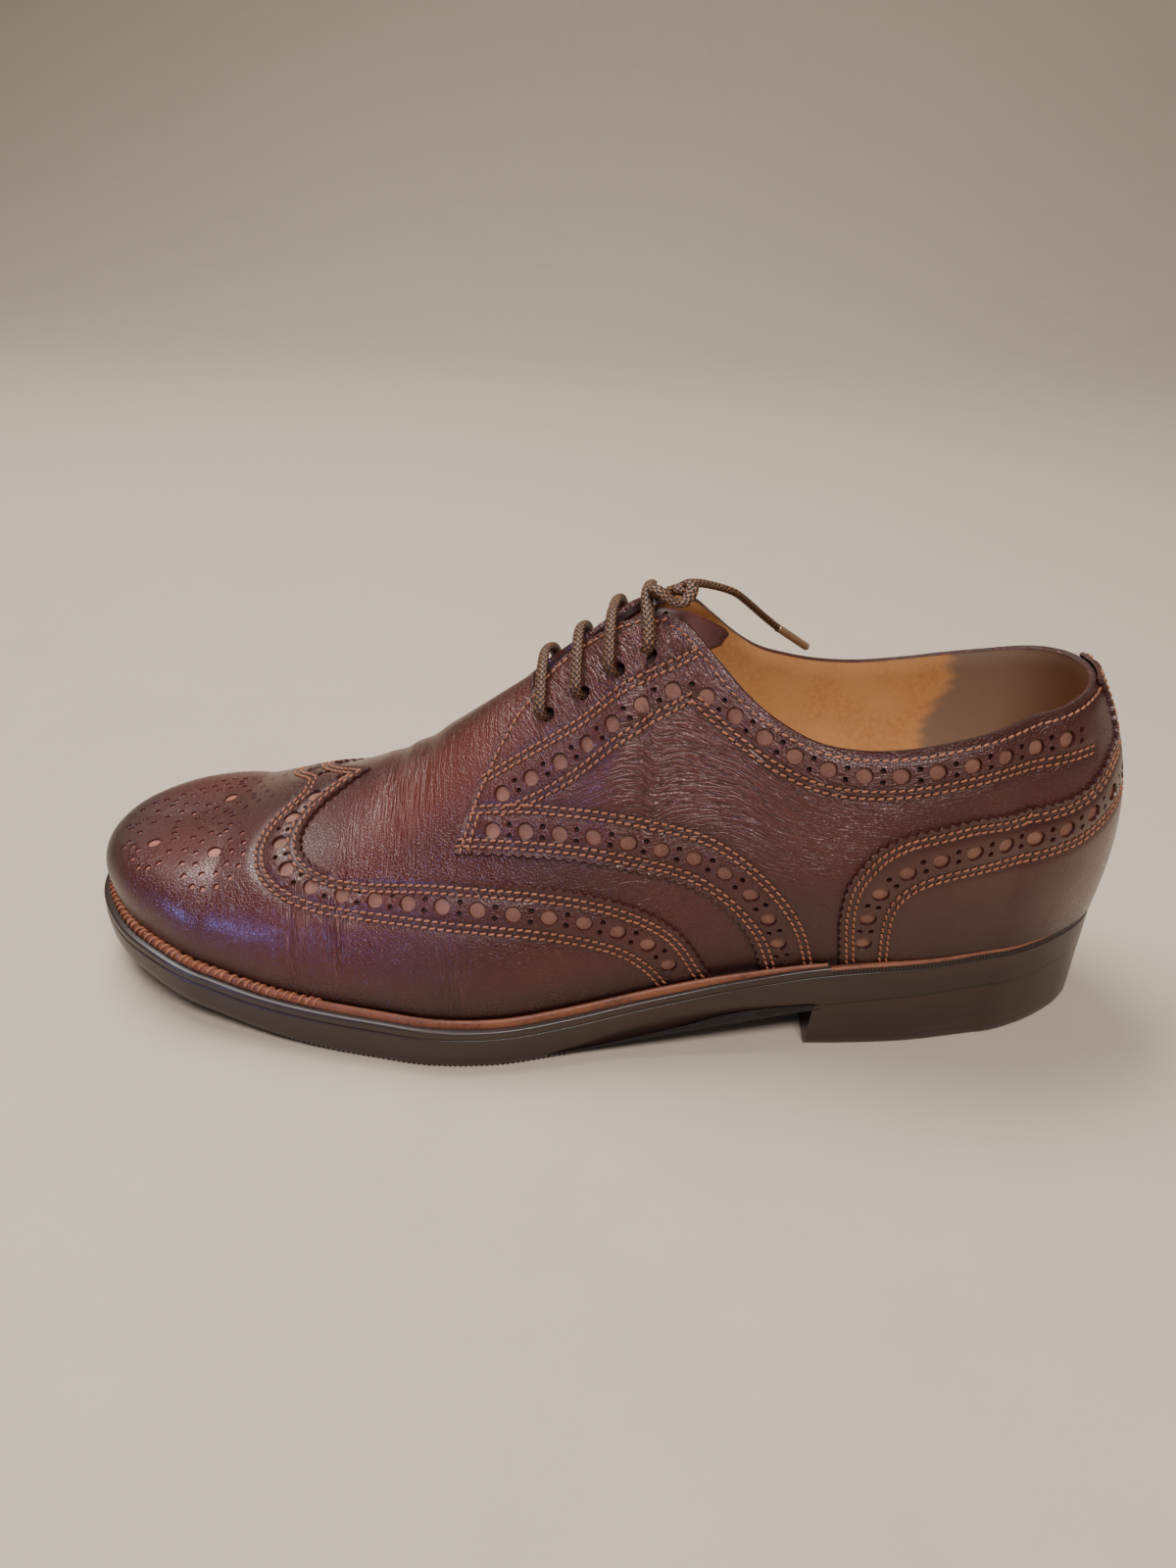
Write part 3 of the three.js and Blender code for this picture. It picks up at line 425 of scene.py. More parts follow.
    def normal(self, zone: Zone, t: Array, side: int, v: Array) -> Array:
        """Finds the way out of the last's surface.

        Args:
            zone: Zone of the stations.
            t: Stations.
            side: OUTER or INNER.
            v: Share of the way from the ridge or topline to the upper's foot.

        Returns:
            Unit normals, one a row.
        """
        step = 1.0 if zone is Zone.SIDE else 2.0
        low, high = self.limits(zone)
        w = np.maximum(v, 0.03) if zone is Zone.TOE else np.maximum(v, 0)
        along = (self.profile(zone, np.minimum(t + step, high), side, w)
                 - self.profile(zone, np.maximum(t - step, low), side, w))
        down = (self.profile(zone, t, side, np.minimum(w + 0.01, 1))
                - self.profile(zone, t, side, np.clip(w - 0.01, 0, 0.99)))
        normal = unit(np.cross(along, down))
        here = self.profile(zone, t, side, w)
        middle = {Zone.TOE: self.toe_pole, Zone.HEEL: self.heel_pole, Zone.SIDE: here[:, 0]}[zone]
        out = here - np.column_stack([np.broadcast_to(middle, len(t)), np.zeros(len(t)),
                                      np.full(len(t), self.sole_edge)])
        normal = np.where(np.sum(normal * out, axis=1)[:, None] < 0, -normal, normal)
        if zone is Zone.TOE:
            pole = np.array([-0.36, 0.0, 0.93])
            share = smoothstep(0, 0.2, v)[:, None]
            normal = unit(normal * share + pole * (1 - share))
        return normal

    def surface(self, points: Array, height: Array | float) -> Array:
        """Lays pattern points on the shoe.

        Args:
            points: Pattern points.
            height: Height over the last, one for all or one each.

        Returns:
            Points on the last in millimetres, one a row.
        """
        zone, t, v = self.station(points)
        raised = np.broadcast_to(height, len(points)) + self.worn(points)
        out = np.empty((len(points), 3))
        for number, kind in enumerate(Zone):
            for side in (OUTER, INNER):
                mask = (zone == number) & ((points[:, 1] > 0) == (side > 0))
                if not mask.any():
                    continue
                normal = self.normal(kind, t[mask], side, v[mask])
                if kind is Zone.SIDE:
                    other = self.normal(kind, t[mask], -side, v[mask])
                    near = 0.5 * (1 - smoothstep(0, 0.06, v[mask])) * (t[mask] < self.throat)
                    normal = unit(normal * (1 - near)[:, None] + other * near[:, None])
                out[mask] = (self.profile(kind, t[mask], side, v[mask]) + normal * raised[mask][:, None])
        return out

    def worn(self, points: Array) -> Array:
        """Adds up what the creases do.

        Args:
            points: Pattern points.

        Returns:
            Heights to add, one for each point.
        """
        total = np.zeros(len(points))
        for crease in self.creases:
            total += crease.height(points[:, 0], points[:, 1])
        return total

    def slopes(self, points: Array) -> Array:
        """Measures how the shoe's points move with a and with b.

        Args:
            points: Pattern points.

        Returns:
            A 3 by 2 matrix for each point.
        """
        step = 0.25
        _, _, v = self.station(points)
        away = np.maximum(step / self.chart_width - v, 0) * self.chart_width
        points = points + np.column_stack([np.zeros(len(points)), np.sign(points[:, 1]) * away])
        columns = []
        for move in ((step, 0), (0, step)):
            ahead, back = self.surface(points + move, 0), self.surface(points - move, 0)
            columns.append((ahead - back) / (2 * step))
        return np.stack(columns, axis=2)

    def in_frame(self, points: Array) -> Array:
        """Returns the last's points in the frame, in metres."""
        return (points + [self.shift[0], self.shift[1], 0]) * MM

    def ring(self, count: int) -> list[tuple[Zone, float, int]]:
        """Walks once round the shoe's edge.

        Args:
            count: Stations on one side.

        Returns:
            Stations from the toe tip along the outer side, round the heel and back along the inner.
        """
        share = (0.28, 0.56, 0.16)
        toe, side, heel = (max(int(count * part), 4) for part in share)
        one = [(Zone.TOE, float(t)) for t in np.linspace(90, 0, toe, endpoint=False)]
        one += [(Zone.SIDE, float(t))
                for t in np.linspace(self.toe_pole, self.heel_pole, side, endpoint=False)]
        one += [(Zone.HEEL, float(t)) for t in np.linspace(0, 90, heel)]
        outer = [(zone, t, OUTER) for zone, t in one]
        inner = [(zone, t, INNER) for zone, t in reversed(one[1:-1])]
        return outer + inner

    def plan(self, ring: Sequence[tuple[Zone, float, int]], inset: Array | float) -> Array:
        """Places points in from the sole's edge, in plan.

        Args:
            ring: Stations.
            inset: How far in, one for all or one each.

        Returns:
            The points, one for each station.
        """
        insets = np.broadcast_to(inset, len(ring))
        result = np.empty((len(ring), 2))
        for zone in Zone:
            for side in (OUTER, INNER):
                spots = [i for i, spot in enumerate(ring) if spot[0] is zone and spot[2] == side]
                if spots:
                    at = np.array([ring[i][1] for i in spots])
                    out = self.outward(zone, at, side) * insets[spots][:, None]
                    result[spots] = self.edge(zone, at, side) - out
        return result


def side_name(side: int) -> str:
    """Returns the name of a side's columns in the last's tables."""
    return "outer" if side < 0 else "inner"


@dataclass
class Seam:
    """A line on the pattern, walked by its true length on the shoe."""

    last: Last
    points: Array
    run: Array = field(init=False)

    def __post_init__(self) -> None:
        """Measures the line."""
        xyz = self.last.surface(self.points, 0)
        self.run = run_of(xyz)

    @property
    def length(self) -> float:
        """Length of the line on the shoe."""
        return float(self.run[-1])

    def at(self, s: Array) -> Array:
        """Returns pattern points at lengths along the line."""
        return np.column_stack([np.interp(s, self.run, self.points[:, i]) for i in range(2)])

    def beside(self, s: Array, offset: Array | float) -> Array:
        """Finds pattern points beside the line.

        Args:
            s: Lengths along the line.
            offset: Distance to the left of the walk, in millimetres on the shoe.

        Returns:
            The pattern points.
        """
        here = self.at(s)
        tangent = self.at(s + 0.6) - self.at(s - 0.6)
        return here + across_line(self.last, here, tangent) * np.broadcast_to(offset, len(s))[:, None]

    def spaced(self, pitch: float, start: float = 0.5) -> Array:
        """Returns evenly spaced lengths, about a pitch apart, the first at start pitches."""
        count = max(int(round(self.length / pitch)), 1)
        return (np.arange(count) + start) * self.length / count


def relaxed(last: Last, line: Array, reach: float = 4.0) -> Array:
    """Takes small jogs out of a line, so that it runs evenly on the shoe itself.

    Args:
        last: The last.
        line: Pattern points, about a millimetre apart.
        reach: Length over which the line is evened out.

    Returns:
        The pattern points of the even line, with the same two ends.
    """
    count = int(3 * reach)
    weight = np.exp(-0.5 * (np.arange(-count, count + 1) / reach) ** 2)
    weight /= weight.sum()
    for _ in range(3):
        xyz = last.surface(line, 0)
        padded = np.vstack([2 * xyz[0] - xyz[count:0:-1], xyz, 2 * xyz[-1] - xyz[-2:-count - 2:-1]])
        even = np.column_stack([np.convolve(padded[:, k], weight, "valid") for k in range(3)])
        even[[0, -1]] = xyz[[0, -1]]
        slopes = last.slopes(line)
        metric = np.einsum("nki,nkj->nij", slopes, slopes) + 1e-9 * np.eye(2)
        move = np.einsum("nki,nk->ni", slopes, even - xyz)
        line = line + np.einsum("nij,nj->ni", np.linalg.inv(metric), move)
    return line


def across_line(last: Last, here: Array, tangent: Array) -> Array:
    """Finds steps across a line, each one millimetre long on the shoe.

    Args:
        last: The last.
        here: Pattern points on the line.
        tangent: The line's direction on the pattern at each point.

    Returns:
        Pattern vectors to the left of the line.
    """
    slopes = last.slopes(here)
    metric = np.einsum("nki,nkj->nij", slopes, slopes)
    turned = np.column_stack([-tangent[:, 1], tangent[:, 0]])
    step = np.einsum("nij,nj->ni", np.linalg.inv(metric + 1e-9 * np.eye(2)), turned)
    size = np.linalg.norm(np.einsum("nki,ni->nk", slopes, step), axis=1)
    return step / np.maximum(size, 1e-9)[:, None]


def inside(loop: Array, points: Array) -> Array:
    """Tells which points lie inside a closed loop.

    Args:
        loop: The loop's points, the first not repeated.
        points: Points to test.

    Returns:
        A mask, true inside.
    """
    result = np.zeros(len(points), bool)
    x, y = points[:, 0], points[:, 1]
    for p, q in zip(loop, np.roll(loop, -1, axis=0), strict=True):
        if p[1] == q[1]:
            continue
        spans = (p[1] > y) != (q[1] > y)
        result ^= spans & (x < (q[0] - p[0]) * (y - p[1]) / (q[1] - p[1]) + p[0])
    return result


def make_mesh(name: str, points: Array, faces: Sequence[Sequence[int]], finish: bpy.types.Material,
              smooth: bool = True) -> bpy.types.Object:
    """Makes an object that rides on the shoe.

    Args:
        name: The object's name.
        points: Vertices in metres.
        faces: Vertex numbers of each face.
        finish: Its material.
        smooth: Whether its faces shade as one curved surface.

    Returns:
        The object.
    """
    mesh = bpy.data.meshes.new(name)
    mesh.from_pydata(points.tolist(), [], [tuple(map(int, face)) for face in faces])
    mesh.materials.append(finish)
    mesh.polygons.foreach_set("use_smooth", np.full(len(mesh.polygons), smooth))
    mesh.update()
    thing = bpy.data.objects.new(name, mesh)
    bpy.context.scene.collection.objects.link(thing)
    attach(thing, BODY)
    return thing


def set_mask(thing: bpy.types.Object, name: str, values: Array) -> None:
    """Stores one value for each vertex under a name that materials read."""
    layer = thing.data.attributes.new(name, "FLOAT", "POINT")
    layer.data.foreach_set("value", np.asarray(values, np.float32))


def set_pattern(thing: bpy.types.Object, pattern: Array) -> None:
    """Stores a flat place for each vertex as the mesh's texture coordinates.

    Args:
        thing: The object.
        pattern: The places, one a row.
    """
    layer = thing.data.uv_layers.new(name="Pattern")
    corner = np.empty(len(thing.data.loops), np.int32)
    thing.data.loops.foreach_get("vertex_index", corner)
    layer.data.foreach_set("uv", np.asarray(pattern[corner], np.float32).ravel())


def grid_faces(rows: int, columns: int, closed: bool = False, first: int = 0) -> list[tuple[int, ...]]:
    """Lists the faces of a grid of vertices.

    Args:
        rows: Rows of vertices.
        columns: Vertices in a row.
        closed: Whether each row's end joins its start.
        first: Number of the first vertex.

    Returns:
        Faces of four vertices.
    """
    faces = []
    for i in range(rows - 1):
        for j in range(columns if closed else columns - 1):
            k = (j + 1) % columns
            faces.append((first + i * columns + j, first + i * columns + k,
                          first + (i + 1) * columns + k, first + (i + 1) * columns + j))
    return faces


def within(rim: Array, holes: Sequence[Array], points: Array) -> Array:
    """Tells which points lie inside a rim and outside the holes in it.

    Args:
        rim: The outer loop.
        holes: Loops inside it.
        points: Points to test.

    Returns:
        A mask, true for the points that are kept.
    """
    keep = inside(rim, points)
    for loop in holes:
        near = np.linalg.norm(points - loop.mean(0), axis=1) < np.ptp(loop, axis=0).max()
        keep[near] &= ~inside(loop, points[near])
    return keep


def triangulated(rim: Array, loops: Sequence[Array], inner: Array) -> tuple[Array, list]:
    """Joins loops and the points between them into faces.

    Args:
        rim: The outer loop.
        loops: Loops inside it.
        inner: Points between them.

    Returns:
        The points and the faces, the loops' points first.
    """
    edges, first = [], 0
    for loop in [rim, *loops]:
        count = len(loop)
        edges += [(first + i, first + (i + 1) % count) for i in range(count)]
        first += count
    points = [Vector(p) for p in np.vstack([rim, *loops, inner])]
    made = delaunay_2d_cdt(points, edges, [], 1, 1e-5, True)
    return np.array([tuple(p) for p in made[0]]), made[2]


@dataclass(frozen=True)
class Punch:
    """A round hole in a pattern piece."""

    a: float
    b: float
    diameter: float
    depth: float = 1.0
    bottom: int = 1

    def loop(self, slopes: Array, grow: float = 0.0) -> Array:
        """Draws the hole's edge on the pattern.

        Args:
            slopes: How the shoe's points move with the pattern's at the hole.
            grow: How far outside the edge to draw, in millimetres.

        Returns:
            Pattern points.
        """
        count = 16 if self.diameter > 3 else 8
        turn = 2 * math.pi * np.arange(count) / count
        metric = slopes.T @ slopes
        values, vectors = np.linalg.eigh(metric)
        root = vectors @ np.diag(1 / np.sqrt(values)) @ vectors.T
        circle = np.column_stack([np.cos(turn), np.sin(turn)]) * (self.diameter / 2 + grow)
        return np.array([self.a, self.b]) + circle @ root


@dataclass
class StitchRow:
    """Rows of stitches along a seam, beside one another."""

    seam: Seam
    offsets: tuple[float, ...] = (-1.0, 1.0)
    pitch: float = 2.35
    height: float = 1.1


@dataclass
class PatternPiece:
    """A piece of leather cut to an outline on the pattern, with punched holes and pressed seams.

    Args:
        name: The piece's name.
        outline: Closed loop of pattern points.
        height: Height of its face over the last.
        thickness: Depth of its cut edge.
        punches: Its holes.
        rows: Stitch rows that press it down.
        spacing: Distance between the points of its face.
        bevel: Width of its rounded edges.
        press: Depth that the stitches press it.
        puff: Height of the soft swelling beside a punched row.
        skive: How much thinner it is at the collar's edge.
        openings: Large openings cut in it.
        inward: Whether its face looks into the shoe.
    """

    name: str
    last: Last
    outline: Array
    height: float
    thickness: float
    punches: list[Punch] = field(default_factory=list)
    rows: list[StitchRow] = field(default_factory=list)
    spacing: float = 1.8
    bevel: float = 0.2
    press: float = 0.28
    puff: float = 0.22
    skive: float = 0.0
    openings: list[Array] = field(default_factory=list)
    inward: bool = False

    def relief(self, points: Array) -> tuple[Array, Array]:
        """Measures how far the seams press the face down.

        Args:
            points: Pattern points.

        Returns:
            The heights to add, and the distance of each point to the nearest stitches.
        """
        if not self.rows:
            return -self.thinned(points), np.full(len(points), 9.0)
        marks = []
        for row in self.rows:
            s = row.seam.spaced(0.7)
            marks.extend(self.last.surface(row.seam.beside(s, offset), 0) for offset in row.offsets)
        near = distances(np.vstack(marks), self.last.surface(points, 0))
        swell = self.puff * smoothstep(0.6, 2.6, near)
        return swell - self.press * np.exp(-((near / 0.85) ** 2)) - self.thinned(points), near

    def thinned(self, points: Array) -> Array:
        """Measures how much thinner the leather is skived towards the collar's edge.

        Args:
            points: Pattern points.

        Returns:
            Depths, one for each point.
        """
        if not self.skive:
            return np.zeros(len(points))
        _, _, v = self.last.station(points)
        collar = smoothstep(166, 174, points[:, 0])
        return self.skive * collar * (1 - smoothstep(0, 4.5, v * self.last.chart_width))

    def inner_points(self, rim: Array, loops: list[Array]) -> Array:
        """Lists the points of the face inside its rim, in even rows and along its seams.

        Args:
            rim: Closed loop round the face.
            loops: Edges of its holes.

        Returns:
            Pattern points.
        """
        low, high = rim.min(0), rim.max(0)
        step = self.spacing
        a, b = np.meshgrid(np.arange(low[0], high[0], step), np.arange(low[1], high[1], step * 0.87))
        a = a + (np.arange(a.shape[0]) % 2)[:, None] * step / 2
        field_points = np.column_stack([a.ravel(), b.ravel()])
        lines = [np.empty((0, 2))]
        for row in self.rows:
            s = row.seam.spaced(1.1)
            middle = (max(row.offsets) + min(row.offsets)) / 2
            half = (max(row.offsets) - min(row.offsets)) / 2
            for offset in sorted({round(middle + k, 2) for k in (
                    -half - 1.7, -half - 0.8, -half, -half / 3, half / 3, half, half + 0.8, half + 1.7)}):
                lines.append(row.seam.beside(s, offset))
        seam_points = np.vstack(lines)
        border = np.vstack([rim, *loops])
        if len(seam_points):
            seam_points = seam_points[distances(border, seam_points) > 0.5]
            seam_points = spread(seam_points, 0.45)
            field_points = field_points[distances(seam_points, field_points) > 0.8]
        field_points = field_points[distances(border, field_points) > 0.7]
        every = np.vstack([field_points, seam_points])
        return every[within(rim, loops, every)]

    def build(self, finish: bpy.types.Material,
              underlay: Sequence[bpy.types.Material] = ()) -> bpy.types.Object:
        """Cuts the piece and lays it on the shoe.

        Args:
            finish: Its leather.
            underlay: What shows at the bottom of its holes, one for each kind of bottom; the near-black one
                is painted shade.

        Returns:
            The piece.
        """
        outline = self.outline
        after = np.roll(outline, -1, axis=0)
        area = np.sum(outline[:, 0] * after[:, 1] - after[:, 0] * outline[:, 1])
        outline = outline if area > 0 else outline[::-1]
        tangent = np.roll(outline, -1, axis=0) - np.roll(outline, 1, axis=0)
        rim = outline + across_line(self.last, outline, tangent) * self.bevel
        slopes = self.last.slopes(np.array([[punch.a, punch.b] for punch in self.punches]).reshape(-1, 2))
        wide = [punch.loop(slope, self.bevel) for punch, slope in zip(self.punches, slopes, strict=True)]
        wide += self.openings
        flat, made = triangulated(rim, wide, self.inner_points(rim, wide))
        triangles = np.array([face for face in made if len(face) == 3])
        faces = [tuple(t) for t in triangles[within(rim, wide, flat[triangles].mean(axis=1))]]
        outer_faces = len(faces)
        drop, near = self.relief(flat)
        heights = [self.height + drop]
        pattern, seam_near = [flat], [near]
        slots = [0] * len(faces)
        count = len(flat)

        def ring(loop: Array, low: float, at: int) -> int:
            """Adds a loop of vertices and joins it to an earlier loop.

            Args:
                loop: Pattern point of each vertex.
                low: Height over the last.
                at: Number at which the earlier loop starts.

            Returns:
                Number at which the new loop starts.
            """
            nonlocal count
            heights.append(low - self.thinned(loop))
            pattern.append(loop)
            seam_near.append(np.full(len(loop), 9.0))
            for i in range(len(loop)):
                j = (i + 1) % len(loop)
                faces.append((at + i, at + j, count + j, count + i))
                slots.append(0)
            count += len(loop)
            return count - len(loop)

        rim_at = ring(outline, self.height - self.bevel, 0)
        ring(outline, self.height - self.thickness, rim_at)
        first = len(rim)
        for punch, loop, slope in zip(self.punches, wide, slopes):
            edge = punch.loop(slope)
            lip = ring(edge, self.height - self.bevel, first)
            base = ring(edge, self.height - punch.depth, lip)
            first += len(loop)
            if underlay:
                heights.append(np.array([self.height - punch.depth]))
                pattern.append(np.array([[punch.a, punch.b]]))
                seam_near.append(np.array([9.0]))
                for i in range(len(edge)):
                    faces.append((base + i, base + (i + 1) % len(edge), count))
                    slots.append(punch.bottom)
                count += 1
        flats = np.vstack(pattern)
        everything = self.last.surface(flats, np.concatenate(heights))
        faces = facing_out(everything, faces, outer_faces)
        faces = [face[::-1] for face in faces] if self.inward else faces
        piece = make_mesh(self.name, self.last.in_frame(everything), faces, finish)
        if underlay:
            for bottom in underlay:
                piece.data.materials.append(bottom)
            piece.data.polygons.foreach_set("material_index", slots)
        set_pattern(piece, flats * 0.01)
        set_mask(piece, "seam", np.exp(-((np.concatenate(seam_near) / 1.3) ** 2)))
        border = distances(self.last.surface(outline, 0), everything)
        set_mask(piece, "edge", np.exp(-border / 1.6))
        tone_masks(piece, flats, self.last)
        mark_sharp(piece)
        return piece


def distances(marks: Array, points: Array) -> Array:
    """Measures how far points are from the nearest mark.

    Args:
        marks: The marks, in plan or in space.
        points: Points of the same kind.

    Returns:
        Distances, one for each point.
    """
    tree = KDTree(len(marks))
    size = marks.shape[1]
    for i, mark in enumerate(marks):
        tree.insert((*mark, 0.0) if size == 2 else mark, i)
    tree.balance()
    return np.array([tree.find((*p, 0.0) if size == 2 else p)[2] for p in points])


def spread(points: Array, apart: float) -> Array:
    """Drops points that crowd others.

    Args:
        points: Points in plan.
        apart: Side of the square that holds one point at most.

    Returns:
        The points that are left.
    """
    cells, kept = set(), []
    for i, (p, q) in enumerate(np.floor(points / apart).astype(int)):
        if (p, q) not in cells:
            cells.add((p, q))
            kept.append(i)
    return points[kept]


def facing_out(points: Array, faces: list[tuple[int, ...]], count: int) -> list[tuple[int, ...]]:
    """Turns a piece's faces so that its first faces look away from the shoe.

    Args:
        points: Vertices on the last.
        faces: The faces, all turned alike.
        count: How many of the first faces make up its outer face.

    Returns:
        The faces, turned over if need be.
    """
    corners = np.array([face[:3] for face in faces[:count]])
    p, q, r = (points[corners[:, i]] for i in range(3))
    centre = np.column_stack([np.clip(p[:, 0], 50, 265), np.zeros(len(p)), np.full(len(p), 22.0)])
    facing = np.sum(np.cross(q - p, r - p) * (p - centre))
    return faces if facing > 0 else [face[::-1] for face in faces]


def mark_sharp(thing: bpy.types.Object, angle: float = 50.0) -> None:
    """Keeps edges crisp where two faces meet at more than an angle in degrees."""
    thing.data.set_sharp_from_angle(angle=math.radians(angle))


@dataclass(frozen=True)
class Patch:
    """A soft oval patch on the pattern."""

    a: float
    b: float
    reach_a: float
    reach_b: float
    strength: float = 1.0

    def value(self, points: Array) -> Array:
        """Measures the patch's strength, alike on both sides.

        Args:
            points: Pattern points.

        Returns:
            Strengths, one for each point.
        """
        b = np.abs(points[:, 1])
        away = ((points[:, 0] - self.a) / self.reach_a) ** 2 + ((b - self.b) / self.reach_b) ** 2
        return self.strength * np.exp(-away)


RED_PATCHES = (Patch(100, 32, 20, 30, 1.0), Patch(125, 20, 16, 20, 0.8), Patch(25, 30, 22, 24, 0.45),
               Patch(70, 72, 26, 16, 0.5), Patch(150, 88, 24, 10, 0.3), Patch(212, 60, 14, 16, 0.45),
               Patch(262, 90, 26, 14, 0.35))
DARK_PATCHES = (Patch(-30, 0, 26, 60, 0.9), Patch(60, 6, 30, 10, 0.55), Patch(112, 3, 30, 8, 0.6),
                Patch(108, 46, 14, 8, 0.5), Patch(74, 34, 10, 12, 0.45), Patch(215, 95, 12, 18, 0.5),
                Patch(190, 66, 30, 8, 0.35), Patch(270, 100, 40, 16, 0.45), Patch(130, 96, 50, 10, 0.45))
# Wrinkled patches: besides their bumps they get painted sheen, and painted shade in the furrows.
WRINKLE_PATCHES = (Patch(190, 52, 36, 26, 1.0), Patch(176, 42, 22, 14, 0.6), Patch(232, 34, 40, 9, 0.55))
FACING_PATCHES = (Patch(152, 20, 24, 13, 1.0), Patch(168, 16, 12, 10, 0.6))
FLEX_PATCHES = (Patch(100, 20, 9, 26, 0.8), Patch(84, 66, 3.5, 22, 1.0), Patch(72, 74, 3, 20, 1.0),
                Patch(118, 84, 6, 14, 0.6), Patch(128, 22, 10, 20, 0.35))


def tone_masks(piece: bpy.types.Object, flats: Array, last: Last) -> None:
    """Stores where the leather is red, burnished or wrinkled; the wrinkled places also get painted sheen,
    and painted shade in their furrows.

    Args:
        piece: A piece of the upper.
        flats: Pattern point of each vertex.
        last: The last.
    """
    _, _, v = last.station(flats)
    total = {name: sum(patch.value(flats) for patch in patches) for name, patches in (
        ("red", RED_PATCHES), ("dark", DARK_PATCHES), ("wrinkle", WRINKLE_PATCHES),
        ("facing", FACING_PATCHES), ("flex", FLEX_PATCHES))}
    total["dark"] = (total["dark"] + 0.9 * smoothstep(0.86, 1.0, v)
                     + 0.55 * (1 - smoothstep(-30, 6, flats[:, 0])))
    for name, values in total.items():
        set_mask(piece, name, np.clip(values, 0, 1))


